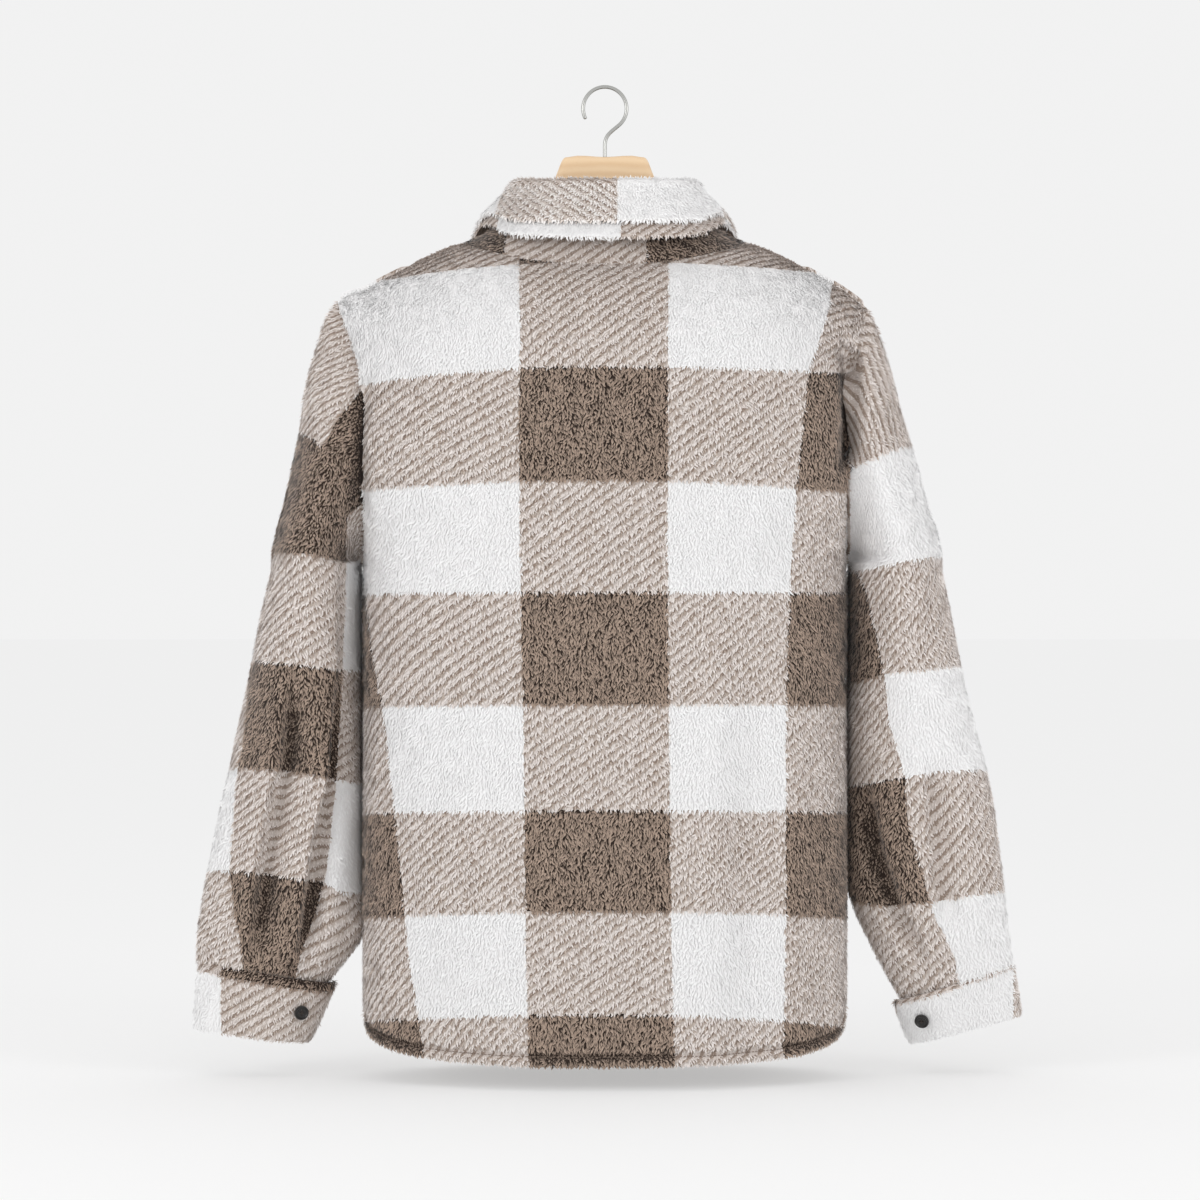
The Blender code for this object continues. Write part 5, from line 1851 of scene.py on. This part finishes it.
    def stand(self) -> Skin:
        """The stand, from the neckline up to just under the roll line."""
        outer = []
        for angle, base in self.ring():
            roll, _, outward, row = self.frame(float(angle))
            rise = roll - base
            base = base - rise / np.linalg.norm(rise) * self.sink
            top = roll + outward * self.stand_top_out
            lapping = float(ease((abs(angle) - self.lap_from) / self.lap_over))
            top[2] += self.stand_top_down - self.stand_lap_down * lapping
            if abs(angle) >= 180:
                top[0] = base[0]
            if abs(angle) > self.lap_from:
                outward = np.array([0.0, 1.0, 0.0])
            if angle < 0:
                top += outward * self.lap_out * self.torso.lap_rise * lapping
            shares = np.linspace(0, 1, self.stand_rows)[:, None]
            rise = top - base
            lean = outward * rise[2] - np.array([0.0, 0.0, 1.0]) * (rise @ outward)
            lean /= np.linalg.norm(lean)
            outer.append(base + rise * shares - lean * 4 * shares * (1 - shares) * row["sag"])
        tips = np.array(outer).transpose(1, 0, 2)
        cloth = self.numbers(tips, line=0.0365, number=2, low=1.80, rate=-1)
        return Skin("collar_stand", tips, facings(tips), cloth, self.wall, self.pile, edges=(1, 3))


# ---- sewing and dressing ------------------------------------------------------
@dataclass
class Tailor:
    """Makes each cut piece a shell of knit with its pile, and rides it on the part's body."""

    wardrobe: Wardrobe
    grower: PileGrower = field(default_factory=PileGrower)
    sharp_deg: float = 60.0            # the shell's rims stay sharp

    def shell(self, skin: Skin) -> Any:
        """A closed wall of knit: its pile ground outside, and its bare back inside.

        Args:
            skin: The cloth.

        Returns:
            The object.
        """
        count = skin.tips.shape[0] * skin.tips.shape[1]
        outside = skin.quads()
        faces = np.concatenate([outside, outside[:, ::-1] + count, skin.rim_quads(skin.rims())])
        points = np.concatenate([skin.ground().reshape(-1, 3), skin.lining().reshape(-1, 3)])
        sides = [self.wardrobe.ground, self.wardrobe.knit]
        made = new_mesh(skin.name + "_cloth", points, faces, sides)
        slots = np.zeros(len(faces), dtype=np.int32)
        slots[len(outside):2 * len(outside)] = 1
        made.data.polygons.foreach_set("material_index", slots)
        cloth = skin.cloth.reshape(-1, 3)
        put(made.data, "cloth", np.concatenate([cloth, cloth]))
        made.data.set_sharp_from_angle(angle=radians(self.sharp_deg))
        return made

    def dress(self, skin: Skin, spacing_mm: float, parts: int = 1, scale: float = 1.0,
              rests_on: str = "hanger_wood", sewn: Sequence[Any] = (), nap: Any = None) -> Any:
        """Args:
            skin: The cloth; its name is its node's.
            spacing_mm: Least distance between two locks.
            parts: How many pieces its pile is kept in.
            scale: Size of its locks, against the usual.
            rests_on: The node that carries it; it is not used.
            sewn: Stitches on it; they are not used.
            nap: Its pile's finish, where it isn't the usual one.

        Returns:
            The shell.
        """
        shell = self.shell(skin)
        pile = self.grower.grow(skin, nap or self.wardrobe.pile, spacing_mm, parts, scale)
        for piece in [shell, *pile]:
            enter(piece)
        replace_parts(shell, skin.name)
        width, length = skin.size()
        area = min(skin.area(), width * length)
        log.info("%s: cut %.0f x %.0f mm, %.3f m2, %d triangles", skin.name, width * 1000,
                 length * 1000, area, sum(triangles(piece) for piece in [shell, *pile]))
        return shell


def triangles(piece: Any) -> int:
    """Triangles of a piece."""
    return sum(len(face.vertices) - 2 for face in piece.data.polygons)


def enter(piece: Any) -> Any:
    """Rides a piece on the part's one body."""
    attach(piece, "root")
    return piece


def lofted(name: str, rings: Sequence[Array], material: Any) -> Any:
    """A solid through closed rings of points, with flat ends.

    Args:
        name: The object's name.
        rings: Rings of points.
        material: Its material.

    Returns:
        The object.
    """
    rings = np.asarray(rings)
    rows, columns = rings.shape[:2]
    number = np.arange(rows * columns).reshape(rows, columns)
    after = np.roll(number, -1, axis=1)
    quads = np.stack([number[:-1], after[:-1], after[1:], number[1:]], -1).reshape(-1, 4).tolist()
    quads += [number[0][::-1].tolist(), number[-1].tolist()]
    mesh = bpy.data.meshes.new(name)
    points = rings.reshape(-1, 3)
    middle = points.mean(axis=0)
    volume = sum(float(np.dot(points[f[0]] - middle, np.cross(points[f[k]] - middle,
                 points[f[k + 1]] - middle))) for f in quads for k in range(1, len(f) - 1))
    mesh.from_pydata(points.tolist(), [], quads if volume > 0 else [f[::-1] for f in quads])
    mesh.shade_smooth()
    mesh.set_sharp_from_angle(angle=radians(SHARP_DEG))
    mesh.materials.append(material)
    return placed(name, mesh)


@dataclass
class Seamstress:
    """Sews rows of stitches along paths on the cloth."""

    wardrobe: Wardrobe
    pitch_mm: float = 3.4
    stitch_mm: float = 2.6
    thread_mm: float = 0.75            # thicker than real, so that it shows in the pile
    tree: Any = None

    def build(self) -> Any:
        """The geometry tree, made once."""
        if self.tree:
            return self.tree
        graph = Growth("row_of_stitches", [
            ("Pitch", "Float", self.pitch_mm * MM),
            ("Stitch Length", "Float", self.stitch_mm * MM),
            ("Thread Radius", "Float", self.thread_mm / 2 * MM),
            ("Finish", "Material", None)])
        given = graph.given
        path = graph.add("GeometryNodeMeshToCurve", None, {"Mesh": given["Geometry"]})
        spots = graph.add("GeometryNodeCurveToPoints", {"mode": "LENGTH"},
                          {"Curve": path, "Length": given["Pitch"]}).outputs
        bead = graph.add("GeometryNodeMeshUVSphere", None, {"Segments": 6, "Rings": 5, "Radius": 1.0})
        half = graph.maths("MULTIPLY", given["Stitch Length"], 0.5)
        size = graph.add("ShaderNodeCombineXYZ", None,
                         {0: given["Thread Radius"], 1: given["Thread Radius"], 2: half})
        turned = graph.add("FunctionNodeAlignRotationToVector", {"axis": "Z"},
                           {"Vector": spots["Tangent"]})
        self.tree = graph.closed(graph.copies(spots["Points"], bead.outputs["Mesh"], turned, size))
        return self.tree

    def sew(self, name: str, path: Array) -> Any:
        """A row of stitches along a path.

        Args:
            name: The row's name.
            path: Points along it.

        Returns:
            The stitches.
        """
        mesh = bpy.data.meshes.new(name + "_path")
        edges = [(k, k + 1) for k in range(len(path) - 1)]
        mesh.from_pydata(np.asarray(path).tolist(), edges, [])
        row = baked(placed(name + "_path", mesh), self.build(), {"Finish": self.wardrobe.thread}, name)
        row.data.shade_smooth()
        return enter(row)


@dataclass
class Button:
    """A four-hole resin button with a raised rim, sewn on with crossed thread."""

    wardrobe: Wardrobe
    radius: float = 6.6 * MM
    thick: float = 3.2 * MM
    rim: float = 1.3 * MM
    dish: float = 0.9 * MM
    hole: float = 0.75 * MM
    spacing: float = 1.5 * MM          # from the centre to each hole, along x and along y
    sides: int = 40
    edge: float = 0.8 * MM             # its rounding
    drilled: tuple[float, float] = (-1.0 * MM, 5.0 * MM)     # the drill's ends
    drill_sides: int = 14
    thread_half: float = 0.32 * MM
    thread_broad: float = 1.7          # its breadth over its height
    thread_rise: tuple[float, float] = (0.55 * MM, 0.80 * MM)    # the second bar crosses the first
    thread_dip: float = 0.5 * MM       # into the holes

    def disc(self, name: str) -> Any:
        """The button lying flat at the origin, its face up."""
        turn = turns(self.sides)
        edge, top = self.edge, self.thick
        profile = (
            (0.5 * MM, 0.0), (self.radius - edge, 0.0), (self.radius - 0.25 * edge, 0.2 * edge),
            (self.radius, 0.9 * edge), (self.radius, top - 0.9 * edge),
            (self.radius - 0.25 * edge, top - 0.25 * edge), (self.radius - 0.8 * edge, top),
            (self.radius - self.rim, top - 0.1 * MM), (self.radius - 1.5 * self.rim, top - self.dish),
            (0.5 * MM, top - self.dish - 0.1 * MM))
        rings = [np.stack([r * np.cos(turn), r * np.sin(turn), 0 * turn + z], -1) for r, z in profile]
        return lofted(name, rings, self.wardrobe.resin)

    def sewn(self, name: str, centre: Array, facing: Array, turned_deg: float = 45.0) -> None:
        """The button in its place, with its four holes and its thread.

        Args:
            name: Its node's name.
            centre: The middle of its underside.
            facing: The way its face looks.
            turned_deg: Turn of its holes about its middle.
        """
        disc = self.disc(name + "_disc")
        turn = turns(self.drill_sides)
        drills = []
        for sx, sy in ((1, 1), (1, -1), (-1, -1), (-1, 1)):
            rings = [np.stack([sx * self.spacing + self.hole * np.cos(turn),
                               sy * self.spacing + self.hole * np.sin(turn), 0 * turn + z], -1)
                     for z in self.drilled]
            drills.append(lofted(f"{name}_drill", rings, self.wardrobe.resin))
            cut = disc.modifiers.new("hole", "BOOLEAN")
            cut.operation, cut.solver, cut.object = "DIFFERENCE", "EXACT", drills[-1]
        mesh = evaluated(disc)
        for spent in [disc, *drills]:
            bpy.data.objects.remove(spent, do_unlink=True)
        facing = np.asarray(facing) / np.linalg.norm(facing)
        first = unit(np.cross([0.0, 0.0, 1.0], facing))
        second = np.cross(facing, first)
        angle = radians(turned_deg)
        right = first * cos(angle) + second * sin(angle)
        up = second * cos(angle) - first * sin(angle)
        frame_of = np.stack([right, up, facing])
        points = np.zeros(len(mesh.vertices) * 3)
        mesh.vertices.foreach_get("co", points)
        mesh.vertices.foreach_set("co", (points.reshape(-1, 3) @ frame_of + centre).ravel())
        mesh.update()
        mesh.set_sharp_from_angle(angle=radians(SHARP_DEG))
        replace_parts(enter(placed(name + "_resin", mesh)), name)
        self.thread(name, np.asarray(centre), frame_of)

    def thread(self, name: str, centre: Array, frame_of: Array) -> None:
        """Two crossing bars of thread from hole to hole."""
        turn, share = turns(8), np.linspace(-1, 1, 9)
        for k, (sx, sy) in enumerate(((1, 1), (1, -1))):
            ends = np.array([sx, sy]) * self.spacing
            arch = self.thread_rise[k] * (1 - share**4) - self.thread_dip * share**8
            path = np.stack([ends[0] * share, ends[1] * share, self.thick - self.dish + arch], -1)
            along = unit(np.gradient(path, axis=0))
            aside = unit(np.cross(along, [0.0, 0.0, 1.0]))
            up = np.cross(aside, along)
            broad = self.thread_broad * np.cos(turn)
            rings = [p + self.thread_half * (np.outer(broad, a) + np.outer(np.sin(turn), u))
                     for p, a, u in zip(path, aside, up)]
            bar = lofted(f"{name}_thread_{k + 1}", np.array(rings) @ frame_of + centre,
                         self.wardrobe.dark_thread)
            enter(bar)


@dataclass
class Hanger:
    """A plain wooden hanger with a turned wire hook."""

    torso: Torso
    wardrobe: Wardrobe
    arm_from: float = 0.130
    arm_to: float = 0.210
    arm_height: float = 0.024
    arm_half: tuple[float, float] = (0.0105, 0.0120)
    tip_x: tuple[float, ...] = (0.2082, 0.2094, 0.21)        # the last stations,
    tip_shrink: tuple[float, ...] = (0.93, 0.80, 0.62)       # where the wood is rounded off
    clear: float = 1.6 * MM
    square: float = 0.62
    sides: int = 40
    hook_inner: float = 0.018
    hook_deg: tuple[float, float] = (-50.0, 205.0)     # the bow's ends
    hook_pull: float = 0.010           # how gently the wire bends into its bow
    hook_gap: float = 0.3 * MM         # under its foot
    hook_neck: float = 0.010           # its straight part
    hook_cap: tuple[tuple[float, float], ...] = (
        # the rounded end of the wire: reach and girth, against half its thickness
        (0.35, 0.90), (0.60, 0.66), (0.72, 0.30))
    wire: float = 1.75 * MM            # half its thickness
    block_top: float = -0.062
    form: Table = field(default_factory=lambda: Table(
        "x top bottom half",
        (0.0000, -0.0620, -0.1180, 0.0090),
        (0.0330, -0.0620, -0.1195, 0.0090),
        (0.0372, -0.0632, -0.1215, 0.0090),
        (0.0395, -0.0665, -0.1230, 0.0090),
        (0.0418, -0.0725, -0.1250, 0.0090),
        (0.0460, -0.0830, -0.1290, 0.0090),
        (0.0540, -0.1010, -0.1370, 0.0092),
        (0.0680, -0.1220, -0.1490, 0.0095),
        (0.0880, -0.1385, -0.1600, 0.0098),
        (0.1120, -0.1452, -0.1670, 0.0100)))

    def section(self, x: float) -> tuple[float, float, float]:
        """Top, bottom and half thickness of the wood at a distance from its middle."""
        wide = self.form.columns["x"][-1]
        if x <= wide:
            row = self.form.row(x)
            return row["top"], row["bottom"], row["half"]
        share = float(np.clip((x - self.arm_from) / (self.arm_to - self.arm_from), 0, 1))
        slope = float(self.torso.ridge(x + 0.001) - self.torso.ridge(x - 0.001)) / 0.002
        top = float(self.torso.ridge(x)) - (self.torso.wall + self.clear) * np.hypot(1, slope)
        half = (1 - share) * self.arm_half[0] + share * self.arm_half[1]
        if x < self.arm_from:
            near, far = self.section(wide), self.section(self.arm_from)
            s = float(ease((x - wide) / (self.arm_from - wide)))
            return tuple((1 - s) * a + s * b for a, b in zip(near, far))
        return top, top - self.arm_height, half

    def wood(self) -> Any:
        """The wood, from tip to tip."""
        # stations from the middle out, closest where the block turns into the arm
        fine = np.concatenate([np.linspace(0, 0.033, 5), np.linspace(0.0345, 0.054, 16),
                               np.linspace(0.058, 0.206, 26), self.tip_x])
        ends = np.concatenate([np.ones(len(fine) - len(self.tip_x)), self.tip_shrink])
        stations = np.concatenate([-fine[:0:-1], fine])
        shrink = np.concatenate([ends[:0:-1], ends])
        turn = turns(self.sides) + pi / self.sides
        across = np.sign(np.cos(turn)) * np.abs(np.cos(turn)) ** self.square
        tall = np.sign(np.sin(turn)) * np.abs(np.sin(turn)) ** self.square
        tall /= np.abs(tall).max()
        rings = []
        for x, s in zip(stations, shrink):
            top, bottom, half = self.section(abs(float(x)))
            middle, reach = (top + bottom) / 2, (top - bottom) / 2
            rings.append(np.stack([0 * turn + x, half * s * across, middle + reach * s * tall], -1))
        return lofted("hanger_beech", rings, self.wardrobe.wood)

    def hook(self) -> Any:
        """The wire hook, from the block up and over the rail's place."""
        radius = self.hook_inner + self.wire
        low = radians(self.hook_deg[0])
        start = np.array([radius * cos(low), -self.hook_inner + radius * sin(low)])
        foot = np.array([0.0, self.block_top + self.hook_gap])
        neck = np.array([0.0, self.block_top + self.hook_neck])
        pull, share = self.hook_pull, np.linspace(0, 1, 16)[:, None]
        ends = (neck, neck + [0.0, pull], start - pull * np.array([-sin(low), cos(low)]), start)
        weights = ((1 - share) ** 3, 3 * share * (1 - share) ** 2, 3 * share**2 * (1 - share), share**3)
        bend = sum(w * p for w, p in zip(weights, ends))
        turn = np.radians(np.linspace(*self.hook_deg, 60))[1:]
        arc = np.stack([radius * np.cos(turn), -self.hook_inner + radius * np.sin(turn)], axis=1)
        path = np.concatenate([[foot], bend, arc])
        along = unit(np.gradient(path, axis=0))
        step = arc[-1] - arc[-2]
        reaches, girths = zip(*self.hook_cap)
        cap = [arc[-1] + unit(step) * self.wire * reach for reach in reaches]
        path = np.concatenate([path, cap])
        along = np.concatenate([along, [along[-1]] * len(cap)])
        girth = np.concatenate([np.ones(len(path) - len(cap)), girths]) * self.wire
        side = turns(20)
        rings = [np.stack([x - dz * g * np.cos(side), g * np.sin(side), z + dx * g * np.cos(side)], 1)
                 for (x, z), (dx, dz), g in zip(path, along, girth)]
        return lofted("hanger_wire", rings, self.wardrobe.steel)

    def build(self) -> None:
        """Both pieces, riding on the part's body."""
        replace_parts(enter(self.wood()), "hanger_wood")
        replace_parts(enter(self.hook()), "hanger_hook")
        log.info("hanger: wood and hook")


@dataclass
class Studio:
    """Floor, light and camera of a high-key catalogue picture."""

    BACK_REACH = 3.5                   # from the camera to the plane of the back
    BACK_Y = -0.11
    EYE = (-0.0044, -3.61, -0.464)

    wardrobe: Wardrobe
    floor_z: float = -0.8960
    floor_reach: float = 40.0
    lens_mm: float = 119.3
    sensor_mm: float = 36.0
    air: float = 0.885
    key_w: float = 27.0
    fill_w: float = 0.9 * 27.0
    aim: tuple[float, float, float] = (0.0, 0.0, -0.45)      # where both lamps look

    def build(self) -> None:
        """Makes all of it."""
        scene = bpy.context.scene
        data = bpy.data.cameras.new("camera")
        data.lens, data.sensor_width, data.sensor_fit = self.lens_mm, self.sensor_mm, "HORIZONTAL"
        data.clip_start, data.clip_end = 0.05, 200.0
        camera = placed("camera", data)
        camera.location, camera.rotation_euler = self.EYE, (pi / 2, 0.0, 0.0)
        scene.camera = camera
        world = bpy.data.worlds.new("studio_air")
        world.use_nodes = True
        Graph(world.node_tree).feed(world.node_tree.nodes["Background"], {
            "Color": (1.0, 1.0, 1.0, 1.0), "Strength": self.air})
        scene.world = world
        reach = self.floor_reach
        corners = np.array([(x, y, self.floor_z) for x, y in (
            (-reach, -reach), (reach, -reach), (reach, reach), (-reach, reach))])
        floor = new_mesh("floor", corners, np.array([[0, 1, 2, 3]]), [self.wardrobe.paper])
        self.lamp("key", (-2.5, -2.4, 0.45), 1.1, self.key_w)
        self.lamp("fill", (2.7, -2.2, 0.35), 1.2, self.fill_w)
        scene.view_settings.view_transform = "Standard"
        scene.view_settings.look = "None"

    def lamp(self, name: str, place: Sequence[float], size: float, watts: float) -> None:
        """A square soft box that looks at the jacket."""
        data = bpy.data.lights.new(name, "AREA")
        data.shape, data.size, data.energy = "SQUARE", size, watts
        lamp = placed(name, data)
        lamp.location = place
        way = np.array(self.aim) - np.array(place)
        lamp.rotation_euler = (
            float(np.arctan2(np.hypot(way[0], way[1]), -way[2])), 0.0,
            float(np.arctan2(-way[0], way[1])))


@dataclass
class Jacket:
    """The whole garment, dressed piece by piece."""

    wardrobe: Wardrobe
    front_buttons_z: tuple[float, ...] = (-0.243, -0.345, -0.447, -0.549, -0.651, -0.753)
    button_proud: float = 0.4 * MM

    def build(self) -> None:
        """Cloth, pile, stitches, buttons and hanger, in order."""
        tailor, torso = Tailor(self.wardrobe), Torso()
        button = Button(self.wardrobe)
        back = torso.back()
        fronts = {side: torso.front(side) for side in Side}
        sewing = Seamstress(self.wardrobe)
        hems = {skin.name: sewing.sew(f"{skin.name}_hem_stitches", torso.stitches(skin))
                for skin in (back, *fronts.values())}
        tailor.dress(back, spacing_mm=1.22, parts=2, sewn=[hems["back"]])
        for side in Side:
            tailor.dress(fronts[side], spacing_mm=1.75, sewn=[hems[fronts[side].name]])
        for side in Side:
            sleeve = Sleeve(torso, side)
            tailor.dress(sleeve.skin(), spacing_mm=1.5)
            cuff = Cuff(sleeve)
            tailor.dress(cuff.skin(), spacing_mm=1.25, scale=0.85, rests_on=f"sleeve_{side.value}")
            button.sewn(f"button_cuff_{side.value}", *cuff.button_seat())
        collar = Collar(torso)
        fall, under = collar.leaf()
        tailor.dress(collar.stand(), spacing_mm=1.4, scale=0.9)
        tailor.dress(fall, spacing_mm=1.35, nap=self.wardrobe.painted_light_pile)
        tailor.dress(under, spacing_mm=1.4, scale=0.9)
        self.front_buttons(fronts[Side.LEFT], button)
        Hanger(torso, self.wardrobe).build()

    def front_buttons(self, front: Skin, button: Button) -> None:
        """Buttons down the lapped edge, over its own centre line."""
        any_row = 10
        column = int(np.argmin(np.abs(front.tips[any_row, :, 0])))
        line, out = front.tips[:, column], front.facing[:, column]
        for number, z in enumerate(self.front_buttons_z, start=1):
            point = np.array([np.interp(z, line[:, 2], line[:, k]) for k in range(3)])
            facing = unit(np.array([np.interp(z, line[:, 2], out[:, k]) for k in range(3)]))
            button.sewn(f"button_front_{number}", point + facing * self.button_proud, facing)
        log.info("front: %d buttons", len(self.front_buttons_z))


def main() -> None:
    """Builds the studio, the jacket and its hanger."""
    logging.basicConfig(level=logging.INFO, format="%(name)s: %(message)s")
    wardrobe = Wardrobe()
    Studio(wardrobe).build()
    Jacket(wardrobe).build()


if __name__ == "__main__":
    main()
